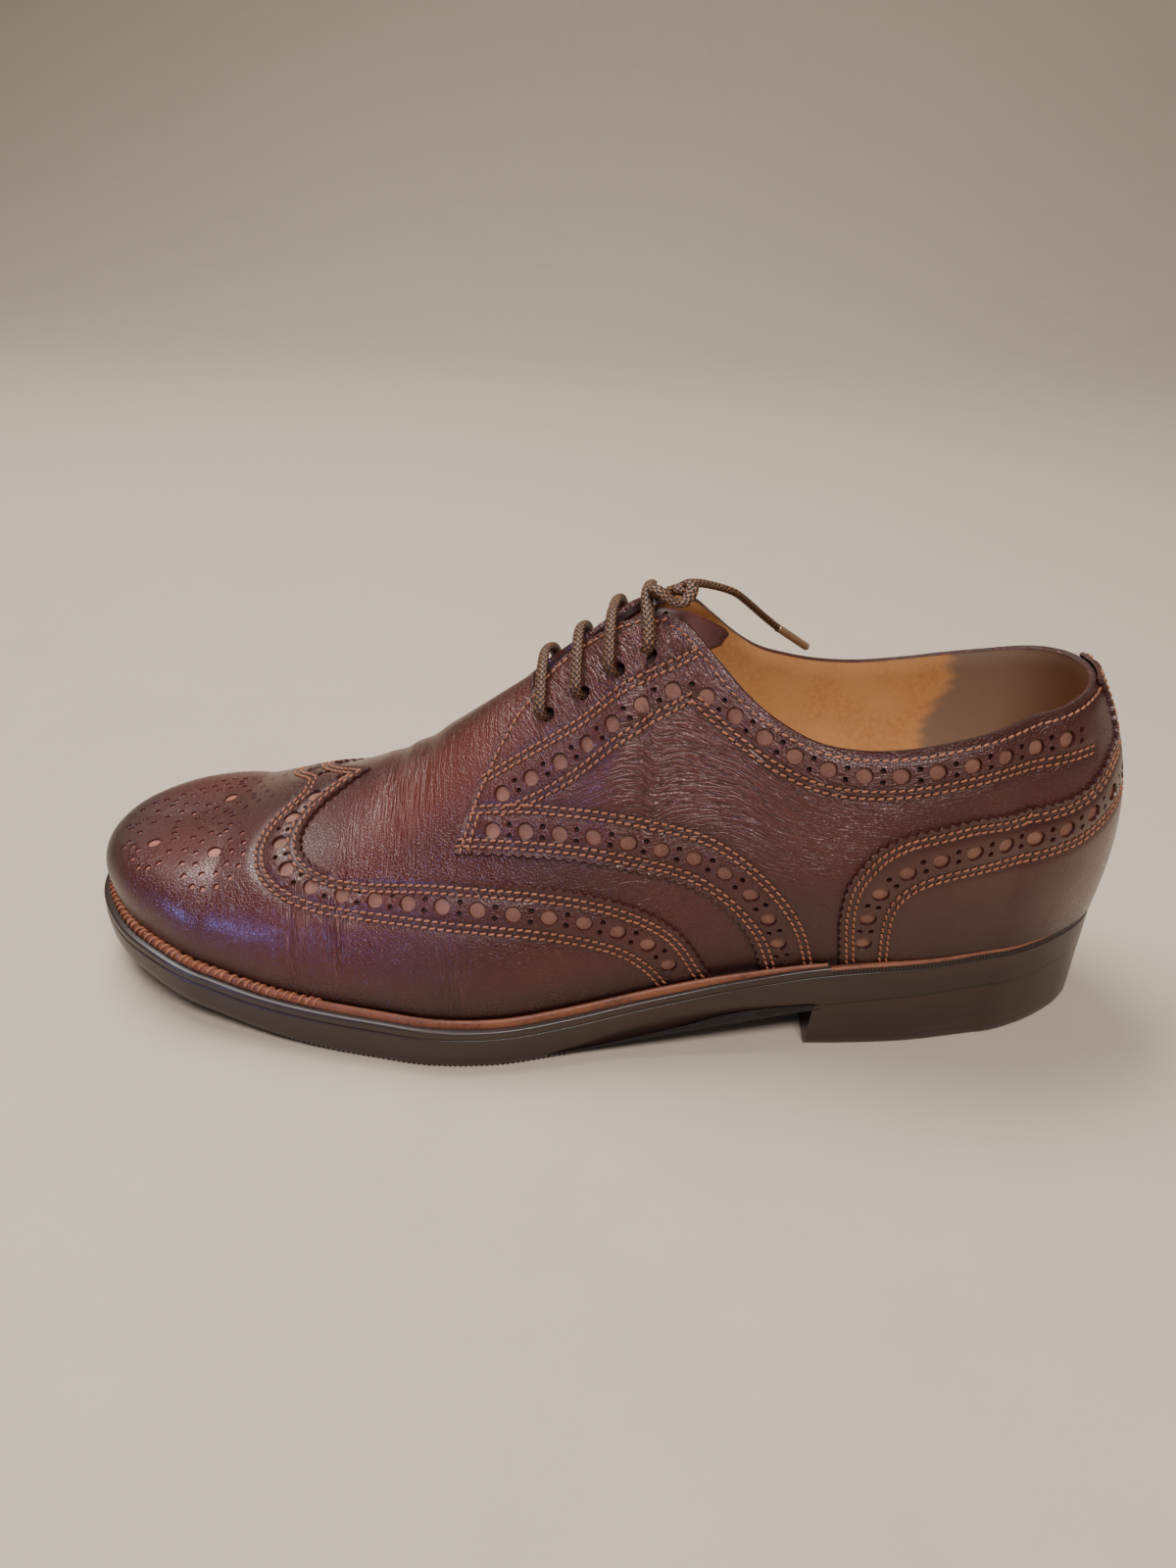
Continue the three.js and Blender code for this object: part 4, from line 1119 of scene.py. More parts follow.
@dataclass(frozen=True)
class Pattern:
    """The lines of the pattern, drawn on the outer side and mirrored for the inner."""

    foot: float = 1.02
    wing_edge: tuple = (
        (85.5, 0), (77.3, -10.1), (71.4, -19.1), (69.6, -26.6), (68.2, -33.7), (70, -40.7), (75.5, -46.7),
        (85.5, -50.8), (99.1, -52.8), (111, -55.8), (122.8, -59.8), (134.6, -63.3), (146, -67.3),
        (157.4, -71.9), (166, -75.4), (171.9, -79.2), (178.3, -86.3), (182.8, -93.8), (186, -101.8),
        (188.3, -108.4), (192, -121))
    wing_holes: tuple = (
        (69.6, -10.1), (64.1, -20.1), (62.7, -33.2), (65.9, -45.7), (73.7, -53.8), (82.8, -56.3),
        (91.9, -58.3), (101.4, -60.3), (111, -62.8), (120.5, -65.3), (130.5, -68.8), (140.5, -71.9),
        (150.1, -74.9), (160.5, -79.4), (171.5, -85.6), (177.5, -94), (180.6, -104), (182.4, -113))
    wing_seam: tuple = (
        (66.5, 0), (68.3, -2), (69.6, -4.4), (68.4, -7.2), (65.4, -10.2), (61.4, -16.1), (58.2, -23.1),
        (56.8, -31.7), (57.3, -39.7), (59.1, -47.7),
        (62.3, -53.8), (66.8, -56.8), (71.4, -60.3), (80, -62.3), (90.9, -63.8), (100, -65.3),
        (111.9, -68.3), (123.7, -71.4), (135.5, -74.4), (146.9, -78.4), (158.3, -82.9), (164.2, -85.4),
        (170.6, -90.8), (176.5, -100.9), (179, -112), (180.4, -121))
    facing_edge: tuple = (
        (116.4, -50.8), (117.3, -48.2), (118.7, -43.7), (120.1, -39.2), (121.9, -35.2), (123.7, -31.7),
        (125.5, -27.6), (128.7, -22.6), (131.4, -18.1), (135.1, -14.6), (138.3, -10.1), (141.4, -7.5),
        (144.6, -5.5), (148.7, -4), (154.2, -5.5), (159.2, -8), (163.7, -10.6), (167.3, -9.6), (171.9, -0.9))
    quarter_edge: tuple = (
        (116.4, -50.8), (128.2, -54.8), (140.1, -58.8), (151.4, -62.8), (162.8, -67.3), (174.2, -71.8),
        (180.1, -76.3), (186.9, -84.1), (195.6, -96.3), (200.6, -104.9), (203.3, -113), (205.2, -124))
    quarter_holes: tuple = (
        (122.6, -47.4), (128.7, -48.9), (138.7, -52.8), (149.6, -56.8), (159.6, -60.6), (169.6, -63.9),
        (180.6, -69.6), (191.5, -78.8), (201, -88.3), (206.9, -101.4), (210.1, -114.5))
    quarter_seam: tuple = (
        (119.8, -41.2), (136, -46.7), (151, -53.0), (162.4, -57.4), (173.3, -60.6), (180.1, -63.8),
        (190.6, -71.2), (202.4, -81), (210.1, -92.4), (215.1, -106.4), (217.6, -118), (218.4, -124))
    facing_seam: tuple = (
        (122.4, -34.6), (129.2, -33.9), (139.6, -33.2), (149.6, -32.9), (158.4, -31.6), (165.4, -28.8),
        (171.4, -24.4), (176.4, -19.3), (180.6, -14.6))
    band_holes: tuple = (
        (125.4, -41), (132.3, -40.7), (140.5, -39.9), (149.2, -39.2), (157.8, -38.4), (165.1, -35.4),
        (171.4, -30.2), (177.5, -25.2), (183.6, -25.4), (189.6, -27.8), (195.9, -29.2), (202.4, -29.8),
        (216.5, -29.2), (233.3, -29.2), (252.4, -29.5), (264, -30.2), (275, -30.6), (287, -27.5))
    band_seam_front: tuple = (
        (128.4, -45.2), (136, -45.8), (150.5, -44.3), (159, -42.6), (166.6, -39), (173.6, -33.8),
        (180.1, -29.4))
    band_seam_back: tuple = (
        (180.1, -29.4), (184.6, -32.9), (192.4, -36.4), (201, -37.4), (217.9, -36.8), (236.1, -36.2),
        (259.7, -36), (273.4, -37.4), (286, -35.4), (297, -29.2))
    counter_edge: tuple = (
        (227.5, -124), (226.1, -114.5), (224.2, -88.3), (225.1, -77.8), (227.9, -68.2), (232, -59.7),
        (238.8, -53.7), (246.5, -52.2), (256.1, -51.7), (267.5, -54.7), (283.1, -53), (293.4, -48.7),
        (302.1, -41.2), (308.6, -24), (310.5, -11), (304.9, -8.5), (290.2, -8.5))
    counter_holes: tuple = (
        (232.6, -116), (232, -105.4), (232, -90.9), (236.5, -74.3), (246.5, -66.7), (256.5, -66.2),
        (267.5, -67.7), (284.2, -66.1), (305.3, -56.1), (318, -40), (325, -22), (326.5, -7))
    counter_seam: tuple = (
        (239.4, -124), (238.8, -116.5), (237.4, -97.4), (238.8, -84.8), (243.8, -77.8), (254.3, -75.8),
        (264.7, -76.3), (281.2, -75.2), (297, -70), (308.1, -64.3), (320.8, -51.9), (329, -36), (333.4, -18),
        (334.4, -0.5))
    quarter_back: tuple = (
        (291.9, -0.4), (317, -0.4), (316, -28), (306, -48), (292, -58), (268, -62.5), (247, -60), (239, -66),
        (234, -80), (232.5, -98), (235, -124))
    vamp_front: tuple = (
        (76, 0), (66, -12), (62.5, -26), (62.5, -38), (67, -49), (80, -57), (98, -60), (122, -67),
        (147, -75), (166, -84), (175, -98), (180, -124))
    vamp_back: tuple = (
        (134.9, 0), (134.9, -13.6), (131.5, -24), (128, -36), (127, -45), (142, -53.5), (165, -62.5),
        (182, -71), (192, -82), (204, -101), (211, -124))
    eyelets: tuple = ((141.1, -25.6), (150.9, -25.1), (160.2, -25.6), (168.2, -23.1))
    even: tuple[str, ...] = ("wing_edge", "wing_seam", "wing_holes", "quarter_edge", "quarter_seam",
                             "quarter_holes", "facing_seam", "band_holes", "band_seam_front",
                             "band_seam_back", "counter_seam", "counter_holes")

    def to_foot(self, last: Last, points: Array) -> Array:
        """Cuts a line where it reaches the upper's foot, at whichever end does.

        Args:
            last: The last.
            points: The line, which runs past the foot at its first or last point.

        Returns:
            The points above the foot and one on it.
        """
        if last.station(points[:1])[2][0] > self.foot:
            return self.to_foot(last, points[::-1])[::-1]
        v = last.station(points)[2]
        end = int(np.argmax(v > self.foot))
        share = (self.foot - v[end - 1]) / (v[end] - v[end - 1])
        return np.vstack([points[:end], points[end - 1] + share * (points[end] - points[end - 1])])

    def foot_line(self, last: Last, start: float, end: float, step: float = 2.0) -> Array:
        """Walks along the upper's foot on the outer side.

        Args:
            last: The last.
            start: Place to start at, in front of the toe's pole for the toe tip.
            end: Place to end at, behind the heel's pole for the back of the heel.
            step: Distance between points.

        Returns:
            Pattern points.
        """
        reach = self.foot * last.chart_width
        rows = []
        if start < last.toe_pole:
            angle = np.radians(np.arange(90, 0, -1.4))
            rows.append(np.column_stack([last.toe_pole - reach * np.sin(angle), -reach * np.cos(angle)]))
        a = np.arange(max(start, last.toe_pole), min(end, last.heel_pole), step)
        rows.append(np.column_stack([a, -(reach + last.gap(a))]))
        if end > last.heel_pole:
            angle = np.radians(np.arange(0, 90.1, 1.5))
            reach += last.collar_gap
            rows.append(np.column_stack([last.heel_pole + reach * np.sin(angle), -reach * np.cos(angle)]))
        return np.vstack(rows)

    def topline(self, last: Last, start: float, end: float) -> Array:
        """Walks along the collar's topline on the outer side.

        Args:
            last: The last.
            start: Place to start at.
            end: Place to end at, behind the heel's pole for the back of the heel.

        Returns:
            Pattern points.
        """
        a = np.arange(start, min(end, last.heel_pole), 1.6)
        line = np.column_stack([a, -last.gap(a)])
        if end <= last.heel_pole:
            return line
        angle = np.radians(np.arange(0, 90.1, 5))
        back = np.column_stack([np.sin(angle), -np.cos(angle)]) * last.collar_gap
        return np.vstack([line, back + [last.heel_pole, 0]])

    def seam(self, last: Last, name: str, side: int, cut: bool = False) -> Seam:
        """Draws one of the pattern's lines as a seam.

        Args:
            last: The last.
            name: The line's name here.
            side: OUTER or INNER.
            cut: Whether the line is cut at the upper's foot.

        Returns:
            The seam.
        """
        line = smooth_line(getattr(self, name))
        line = relaxed(last, line) if name in self.even else line
        line = self.to_foot(last, line) if cut else line
        return Seam(last, line * [1, -side])


def pinked(seam: Seam, toward: int, pitch: float = 2.8, depth: float = 0.9) -> Array:
    """Cuts a line into small teeth.

    Args:
        seam: The line.
        toward: 1 where the teeth point to the left of the walk, -1 to the right.
        pitch: Length of a tooth.
        depth: Height of a tooth.

    Returns:
        Pattern points, valley and tip in turn, with the line's own two ends.
    """
    teeth = max(int(round(seam.length / pitch)), 1)
    s = np.arange(1, 4 * teeth) * seam.length / (4 * teeth)
    rise = (0.62, 1.0, 0.62, 0.0)
    offset = depth * toward * np.array([rise[i % 4] for i in range(len(s))])
    return np.vstack([seam.points[:1], seam.beside(s, offset - depth * toward * 0.5), seam.points[-1:]])


def closed_loop(half: Array) -> Array:
    """Joins an outer half to its mirrored half.

    Args:
        half: Pattern points from one end on the middle line to the other.

    Returns:
        The closed loop's points.
    """
    inner = half[::-1] * [1, -1]
    starts_middle, ends_middle = abs(half[0, 1]) < 0.5, abs(half[-1, 1]) < 0.5
    return np.vstack([half, inner[1 if ends_middle else 0:-1 if starts_middle else None]])


def hole_row(last: Last, seam: Seam, pitch: float, large: float = 4.5, small: float = 1.25,
             first: float = 0.5, last_gap: bool = True, apart: float = 1.55,
             depth: float = 0.95) -> list[Punch]:
    """Punches a brogued row: large holes with a pair of small ones between each two.

    Args:
        last: The last.
        seam: The row's line.
        pitch: Distance between large holes.
        large: Diameter of the large holes.
        small: Diameter of the small holes.
        first: Where the first large hole stands, in pitches.
        last_gap: Whether a pair follows the last large hole.
        apart: Distance of each small hole from the line.
        depth: Depth of the holes.

    Returns:
        The holes.
    """
    s = seam.spaced(pitch, first)
    step = seam.length / len(s)
    punches = [Punch(float(a), float(b), large, depth) for a, b in seam.at(s)]
    between = s + step / 2 if last_gap else s[:-1] + step / 2
    # The small holes take the third bottom: near-black painted shade.
    for offset in (-apart, apart):
        punches += [Punch(float(a), float(b), small, depth, 3) for a, b in seam.beside(between, offset)]
    low = last.station(np.array([[punch.a, punch.b] for punch in punches]))[2]
    return [punch for punch, v in zip(punches, low, strict=True) if v < 0.95]


@dataclass
class Sewing:
    """Lays stitches along seams, with dark patches of painted shade for the needle's holes."""

    last: Last
    thread: bpy.types.Material
    hole: bpy.types.Material
    length: float = 1.9
    width: float = 0.7
    rise: float = 0.40
    slant: float = 0.10

    def stitches(self, name: str, rows: Sequence[StitchRow]) -> None:
        """Builds the stitches of some rows as one object, and the painted shade of their holes as another.

        Args:
            name: The objects' name.
            rows: The rows.
        """
        points, faces, holes, hole_faces = [], [], [], []
        for row in rows:
            for index, offset in enumerate(row.offsets):
                s = row.seam.spaced(row.pitch, 0.5 if index % 2 == 0 else 0.75)
                s = s[s < row.seam.length - 0.3]
                self.lay(row, s, offset, points, faces)
                gap = row.seam.length / max(len(s), 1) / 2
                self.pierce(row, s + gap, offset, holes, hole_faces)
        make_mesh(name, self.last.in_frame(np.array(points)), faces, self.thread)
        make_mesh(f"{name}_needle_hole_shade", self.last.in_frame(np.array(holes)), hole_faces, self.hole)

    def lay(self, row: StitchRow, s: Array, offset: float, points: list, faces: list) -> None:
        """Adds one line of stitches.

        Args:
            row: Its row.
            s: Where each stitch has its middle.
            offset: Distance from the row's seam.
            points: Vertices to add to.
            faces: Faces to add to.
        """
        shares = (-0.5, -0.34, 0.0, 0.34, 0.5)
        girth = (0.45, 0.95, 1.0, 0.95, 0.45)
        lift = (-0.30, 0.62, 1.0, 0.62, -0.30)
        around = np.radians((180, 135, 90, 45, 0))
        flats = row.seam.beside(s, offset)
        middle = self.last.surface(flats, row.height)
        ahead = self.last.surface(row.seam.beside(s + 0.5, offset + self.slant), row.height)
        side = self.last.surface(row.seam.beside(s, offset + 0.5), row.height)
        along = unit(ahead - middle)
        up = unit(np.cross(along, side - middle))
        above = self.last.surface(flats, row.height + 1)
        up *= np.sign(np.sum(up * (above - middle), axis=1))[:, None]
        out = np.cross(up, along)
        sides = np.sign(np.median(row.seam.points[:, 1]))
        for i in np.flatnonzero(flats[:, 1] * sides > 0.5):
            base = len(points)
            for share, wide, high in zip(shares, girth, lift, strict=True):
                core = middle[i] + along[i] * share * self.length + up[i] * (high * self.rise * 0.45 - 0.22)
                for turn in around:
                    points.append(core + out[i] * math.cos(turn) * self.width * wide / 2
                                  + up[i] * math.sin(turn) * self.rise * wide)
            for k in range(4):
                for j in range(4):
                    a = base + k * 5 + j
                    faces.append((a, a + 1, a + 6, a + 5))

    def pierce(self, row: StitchRow, s: Array, offset: float, points: list, faces: list) -> None:
        """Adds dark patches of painted shade for the holes that a line of stitches dips into.

        Args:
            row: Its row.
            s: Where each hole lies.
            offset: Distance from the row's seam.
            points: Vertices to add to.
            faces: Faces to add to.
        """
        corners = ((-0.42, 0), (-0.2, 0.34), (0.2, 0.34), (0.42, 0), (0.2, -0.34), (-0.2, -0.34))
        flats = np.vstack([row.seam.beside(s + along, offset + across) for along, across in corners])
        rings = self.last.surface(flats, row.height - 0.16).reshape(len(corners), len(s), 3)
        sides = np.sign(np.median(row.seam.points[:, 1]))
        for i in np.flatnonzero(flats[:len(s), 1] * sides > 0.5):
            base = len(points)
            points.extend(rings[:, i])
            faces.append(tuple(range(base, base + len(corners))))


@dataclass
class Finishes:
    """The materials, filled in by the workshop that makes them."""

    leather: bpy.types.Material
    counter: bpy.types.Material
    bottoms: tuple[bpy.types.Material, ...]
    rolled: bpy.types.Material
    lining: bpy.types.Material
    sock: bpy.types.Material
    tongue: bpy.types.Material
    thread: bpy.types.Material
    # near-black, the painted shade of needle holes and of the sole's marks
    needle: bpy.types.Material
    welt: bpy.types.Material
    welt_thread: bpy.types.Material
    edge: bpy.types.Material
    tread: bpy.types.Material
    lace: bpy.types.Material
    tip: bpy.types.Material


@dataclass
class Upper:
    """The upper: vamp, wing cap, quarters, counter, binding and linings."""

    last: Last
    pattern: Pattern
    finishes: Finishes
    step: float = 1.1
    counter_step: float = 2.2
    wall: float = 2.0
    edge_row: float = 2.9
    pair: tuple[float, float] = (-0.95, 0.95)
    hole_pitch: float = 9.6
    large_hole: float = 4.5
    eyelet: float = 4.0
    grip_place: float = 259.0
    grip_wave: float = 2.2

    def vamp(self) -> bpy.types.Object:
        """Lays the vamp under the wing cap and the quarters.

        Returns:
            The vamp.
        """
        front = self.pattern.to_foot(self.last, smooth_line(self.pattern.vamp_front))
        back = self.pattern.to_foot(self.last, smooth_line(self.pattern.vamp_back))
        foot = self.pattern.foot_line(self.last, front[-1, 0] + 1, back[-1, 0] - 1)
        half = np.vstack([front, foot, back[::-1]])
        inner = half[::-1] * [1, -1]
        loop = np.vstack([half[:-1], inner[:-1]])
        piece = PatternPiece("vamp", self.last, loop, 0.0, 1.9, spacing=1.9)
        made = piece.build(self.finishes.leather)
        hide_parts("upper")
        return made

    def border_rows(self, name: str, height: float) -> list[StitchRow]:
        """Lists the stitch rows behind a piece's pinked edge and beside its holes.

        Args:
            name: The piece's name in the pattern.
            height: Height of its face over the last.

        Returns:
            The rows of both sides.
        """
        rows = []
        for side in (OUTER, INNER):
            edge = self.pattern.seam(self.last, f"{name}_edge", side, True)
            seam = self.pattern.seam(self.last, f"{name}_seam", side, True)
            near = tuple(side * (self.edge_row + k) for k in self.pair)
            rows += [StitchRow(edge, near, height=height), StitchRow(seam, self.pair, height=height)]
        return rows

    def wing_cap(self) -> bpy.types.Object:
        """Lays the wing cap with its pinked edge, its brogued row and the toe's medallion.

        Returns:
            The wing cap.
        """
        edge = self.pattern.seam(self.last, "wing_edge", OUTER, True)
        teeth = pinked(edge, 1)
        foot = self.pattern.foot_line(self.last, 0, teeth[-1, 0] - 1.5)[::-1]
        loop = closed_loop(np.vstack([teeth, foot]))
        punches = []
        for side in (OUTER, INNER):
            row = self.pattern.seam(self.last, "wing_holes", side)
            punches += hole_row(self.last, row, self.hole_pitch, self.large_hole, first=0.0)
        punches.append(Punch(77.4, 0.0, self.large_hole))
        punches += Medallion().punches(self.last)
        rows = self.border_rows("wing", self.step)
        piece = PatternPiece("wing_cap", self.last, loop, self.step, 1.3, punches, rows)
        return piece.build(self.finishes.leather, self.finishes.bottoms)

    def quarter_rows(self, side: int) -> list[StitchRow]:
        """Lists the stitch rows of one quarter.

        Args:
            side: OUTER or INNER.

        Returns:
            The rows.
        """
        low = self.pattern.seam(self.last, "quarter_edge", side, True)
        facing = self.pattern.seam(self.last, "facing_edge", side)
        top = Seam(self.last, self.pattern.topline(self.last, 173, 300) * [1, -side])
        corner = Seam(self.last, facing.at(np.linspace(1.5, 12.5, 12)))
        rows = [StitchRow(low, tuple(-side * (self.edge_row + k) for k in self.pair), height=self.step),
                StitchRow(facing, (side * 1.7,), height=self.step),
                StitchRow(corner, (side * 3.6,), height=self.step),
                StitchRow(top, (side * 2.4,), height=self.step - 0.3)]
        for name in ("quarter_seam", "facing_seam", "band_seam_front", "band_seam_back"):
            seam = self.pattern.seam(self.last, name, side, name == "quarter_seam")
            rows.append(StitchRow(seam, self.pair, height=self.step))
        return rows

    def quarter(self, side: int) -> bpy.types.Object:
        """Lays one quarter: its facing with the eyelets, its side and its bands of holes.

        Args:
            side: OUTER or INNER.

        Returns:
            The quarter.
        """
        facing = smooth_line(self.pattern.facing_edge)
        top = self.pattern.topline(self.last, 173.2, 300)
        back = self.pattern.to_foot(self.last, smooth_line(self.pattern.quarter_back))
        low = self.pattern.seam(self.last, "quarter_edge", OUTER, True)
        teeth = pinked(low, -1)
        foot = self.pattern.foot_line(self.last, teeth[-1, 0] + 1.5, back[-1, 0] - 1)[::-1]
        loop = np.vstack([facing, top[:-1], back, foot, teeth[::-1][:-1]])
        loop = loop * [1, -side]
        # The eyelets take the third bottom: near-black painted shade over the dark tongue below them.
        punches = [Punch(a, -side * b, self.eyelet, 2.4, 3) for a, b in self.pattern.eyelets]
        for name in ("quarter_holes", "band_holes"):
            row = self.pattern.seam(self.last, name, side)
            punches += hole_row(self.last, row, self.hole_pitch, self.large_hole)
        piece = PatternPiece(f"{side_name(side)}_quarter", self.last, loop, self.step, 1.5, punches,
                             self.quarter_rows(side), skive=0.9)
        return piece.build(self.finishes.leather, self.finishes.bottoms)

    def counter(self) -> bpy.types.Object:
        """Lays the heel counter and the strip up the back as one pinked piece.

        Returns:
            The counter.
        """
        edge = self.pattern.seam(self.last, "counter_edge", OUTER, True)
        teeth = pinked(edge, 1)
        arc = np.arange(-20, 21, 5.0)
        reach = self.last.collar_gap
        top = np.column_stack([self.last.heel_pole + reach * np.cos(np.radians(arc)),
                               reach * np.sin(np.radians(arc))])
        foot = self.pattern.foot_line(self.last, teeth[0, 0] + 1.5, 400)
        loop = np.vstack([teeth, top, teeth[::-1] * [1, -1], foot * [1, -1], foot[::-1][1:]])
        punches = []
        for side in (OUTER, INNER):
            row = self.pattern.seam(self.last, "counter_holes", side)
            punches += hole_row(self.last, row, self.hole_pitch, self.large_hole, last_gap=False, depth=0.75)
        rows = self.border_rows("counter", self.counter_step)
        piece = PatternPiece("counter", self.last, loop, self.counter_step, 1.3, punches, rows)
        return piece.build(self.finishes.counter, self.finishes.bottoms)

    def lining(self) -> bpy.types.Object:
        """Lays the lining inside, one sheet from toe to heel, open at the throat and the collar.

        Returns:
            The lining.
        """
        foot = closed_loop(self.pattern.foot_line(self.last, 0, 400))
        facing = smooth_line(self.pattern.facing_edge)
        facing = facing[facing[:, 0] > 134.9]
        middle = np.array([[134.9, 0.0]])
        mouth = closed_loop(np.vstack([middle, facing, self.pattern.topline(self.last, 173.2, 400)]))
        piece = PatternPiece("lining", self.last, foot, -self.wall, 0.6, spacing=3.6, bevel=0.05,
                             skive=-0.8, openings=[mouth], inward=True)
        made = piece.build(self.finishes.lining)
        points = np.array([corner.co for corner in made.data.vertices]) / MM
        edge = self.grip_place + self.grip_wave * np.sin(points[:, 2] * 0.16)
        place = points[:, 0] - self.last.shift[0]
        set_mask(made, "grip", smoothstep(0, 0.8, place - edge))
        return made

    def binding(self) -> bpy.types.Object:
        """Rolls the edge of the collar over, from one facing's top round the heel to the other's.

        Returns:
            The binding.
        """
        half = self.pattern.topline(self.last, 171.0, 400)
        facing = smooth_line(self.pattern.facing_edge)
        line = np.vstack([facing[facing[:, 0] < 170.5], half])
        run = Seam(self.last, line)
        line = run.at(np.arange(0, run.length, 1.2))
        loop = np.vstack([line, line[::-1] * [1, -1]])
        ahead = np.roll(loop, -1, axis=0) - np.roll(loop, 1, axis=0)
        ahead[0], ahead[-1] = loop[1] - loop[0], loop[-1] - loop[-2]
        aside = across_line(self.last, loop, ahead)
        rows = []
        collar = smoothstep(166, 174, loop[:, 0])
        low, high = -self.wall - 0.15 + 0.8 * collar, self.step + 0.05 - 0.9 * collar
        for turn in np.radians(np.linspace(-30, 210, 11)):
            height = (low + high) / 2 + (high - low) / 2 * math.cos(turn)
            base = self.last.surface(loop, height)
            edge = self.last.surface(loop + aside * 1.2, height) - base
            rows.append(base + unit(edge) * (0.55 * math.sin(turn) * collar - 0.12)[:, None])
        points = np.vstack(rows)
        made = make_mesh("collar_binding", self.last.in_frame(points), grid_faces(11, len(loop)),
                         self.finishes.rolled)
        set_pattern(made, np.tile(loop, (11, 1)) * 0.01)
        return made

    def sew(self, sewing: Sewing) -> None:
        """Sews every piece along its rows.

        Args:
            sewing: What lays the stitches.
        """
        sewing.stitches("wing_stitches", self.border_rows("wing", self.step))
        sewing.stitches("counter_stitches", self.border_rows("counter", self.counter_step))
        for side in (OUTER, INNER):
            sewing.stitches(f"{side_name(side)}_quarter_stitches", self.quarter_rows(side))


@dataclass(frozen=True)
class Medallion:
    """The ornament punched in the toe, a scroll of small holes round three large ones.

    Its outer part is drawn hole by hole, and what the toe hides is the same part across its axis.
    """

    small: float = 1.45
    large: float = 3.7
    depth: float = 0.36
    apart: float = 3.3
    centre: tuple[float, float] = (39.0, -10.9)
    axis: float = 6.96
    tip: tuple = (
        (-9.8, -7.6), (-6.2, -10.4), (0.4, -14.1), (-0.7, -1.9), (5.7, -5.4), (-1.2, -25.6), (-0.1, -36.1),
        (4.6, -43.4), (10.6, -43.9), (16.4, -40.7), (20.2, -31.7), (20.2, -21.2), (18.6, -11.2))
    ring: tuple = (
        (34.2, -25.4), (33.5, -33.8), (35.1, -42.1), (39.4, -47.9), (45.5, -46.7), (48.2, -41.2),
        (48.6, -34.2), (46.8, -26.6), (29.1, -20.7), (27.7, -31.2), (28.4, -41.5), (31.0, -49.8),
        (36.1, -55.6), (41.4, -56.2), (46.8, -53.8), (50.5, -49.2), (52.3, -43.2), (52.7, -36.7),
        (51.8, -30.2), (50.0, -23.6), (47.3, -15.6), (43.2, -18.5), (38.9, -11.6), (36.4, -18.2),
        (30.7, -12.7), (34.5, -4.7), (43.0, -6.7), (38.5, -0.4))
    crest: tuple = (
        (11.3, -0.4), (4.0, 4.3), (-6.8, 6.6), (9.8, 8.3), (17.0, 3.3), (16.3, 9.4), (21.5, 8.8),
        (23.5, 1.8), (29.4, 0.4), (27.8, 7.1), (33.0, 3.7), (10.3, 18.3), (16.1, 17.2), (21.8, 18.5),
        (27.5, 20.1),
        (32.8, 21.4), (29.8, 26.1), (23.5, 24.6), (18.2, 22.8), (35.6, 28.7), (39.3, 21.9), (43.3, 16.5),
        (47.7, 7.0), (50.5, 0.4), (42.2, 5.4), (46.8, -1.5), (41.3, 31.4), (45.5, 26.6), (48.6, 17.1),
        (51.8, 8.5), (55.0, 0.4), (50.5, 24.6), (54.6, 24.6))
    disks: tuple = ((10.6, -23.6), (41.8, -33.5), (36.3, 11.7))

    def across(self, points: Array) -> Array:
        """Mirrors points across the ornament's axis.

        Args:
            points: Pattern points.

        Returns:
            The mirrored points.
        """
        turn = 2 * math.radians(self.axis)
        mirror = np.array([[math.cos(turn), math.sin(turn)], [math.sin(turn), -math.cos(turn)]])
        return np.array(self.centre) + (points - self.centre) @ mirror.T

    def punches(self, last: Last) -> list[Punch]:
        """Lists the ornament's holes.

        Args:
            last: The last.

        Returns:
            The holes.
        """
        disks = np.array(self.disks)
        dots = np.array(self.tip + self.ring + self.crest)
        for point in self.across(np.array(self.tip + self.ring)):
            taken = np.vstack([dots, disks + 0.01])
            if np.linalg.norm(taken - point, axis=1).min() > self.apart:
                dots = np.vstack([dots, point])
        dots = dots[last.station(dots)[2] < 0.9]
        holes = [Punch(float(a), float(b), self.small, self.depth, 2) for a, b in dots]
        return holes + [Punch(float(a), float(b), self.large, self.depth, 2) for a, b in disks]


def sweep(path: Array, radii: tuple[float, float], up: Array, turns: int = 12) -> tuple[Array, list, Array]:
    """Sweeps an oval along a path.

    Args:
        path: Points in order, one a row.
        radii: Half the oval's width and half its thickness.
        up: The oval's thin direction at each point.
        turns: Vertices round the oval.

    Returns:
        Vertices, faces and a flat place for each vertex: length along the path and share round it.
    """
    along = unit(np.gradient(path, axis=0))
    side = unit(np.cross(along, up))
    thin = unit(np.cross(side, along))
    run = run_of(path)
    rows, flats = [], []
    for k in range(turns + 1):
        turn = 2 * math.pi * k / turns
        rows.append(path + side * radii[0] * math.cos(turn) + thin * radii[1] * math.sin(turn))
        flats.append(np.column_stack([run, np.full(len(path), k / turns)]))
    points = np.vstack(rows)
    faces = grid_faces(turns + 1, len(path))
    count = len(path)
    faces.append(tuple(k * count for k in range(turns)))
    faces.append(tuple(k * count + count - 1 for k in reversed(range(turns))))
    return points, faces, np.vstack(flats)


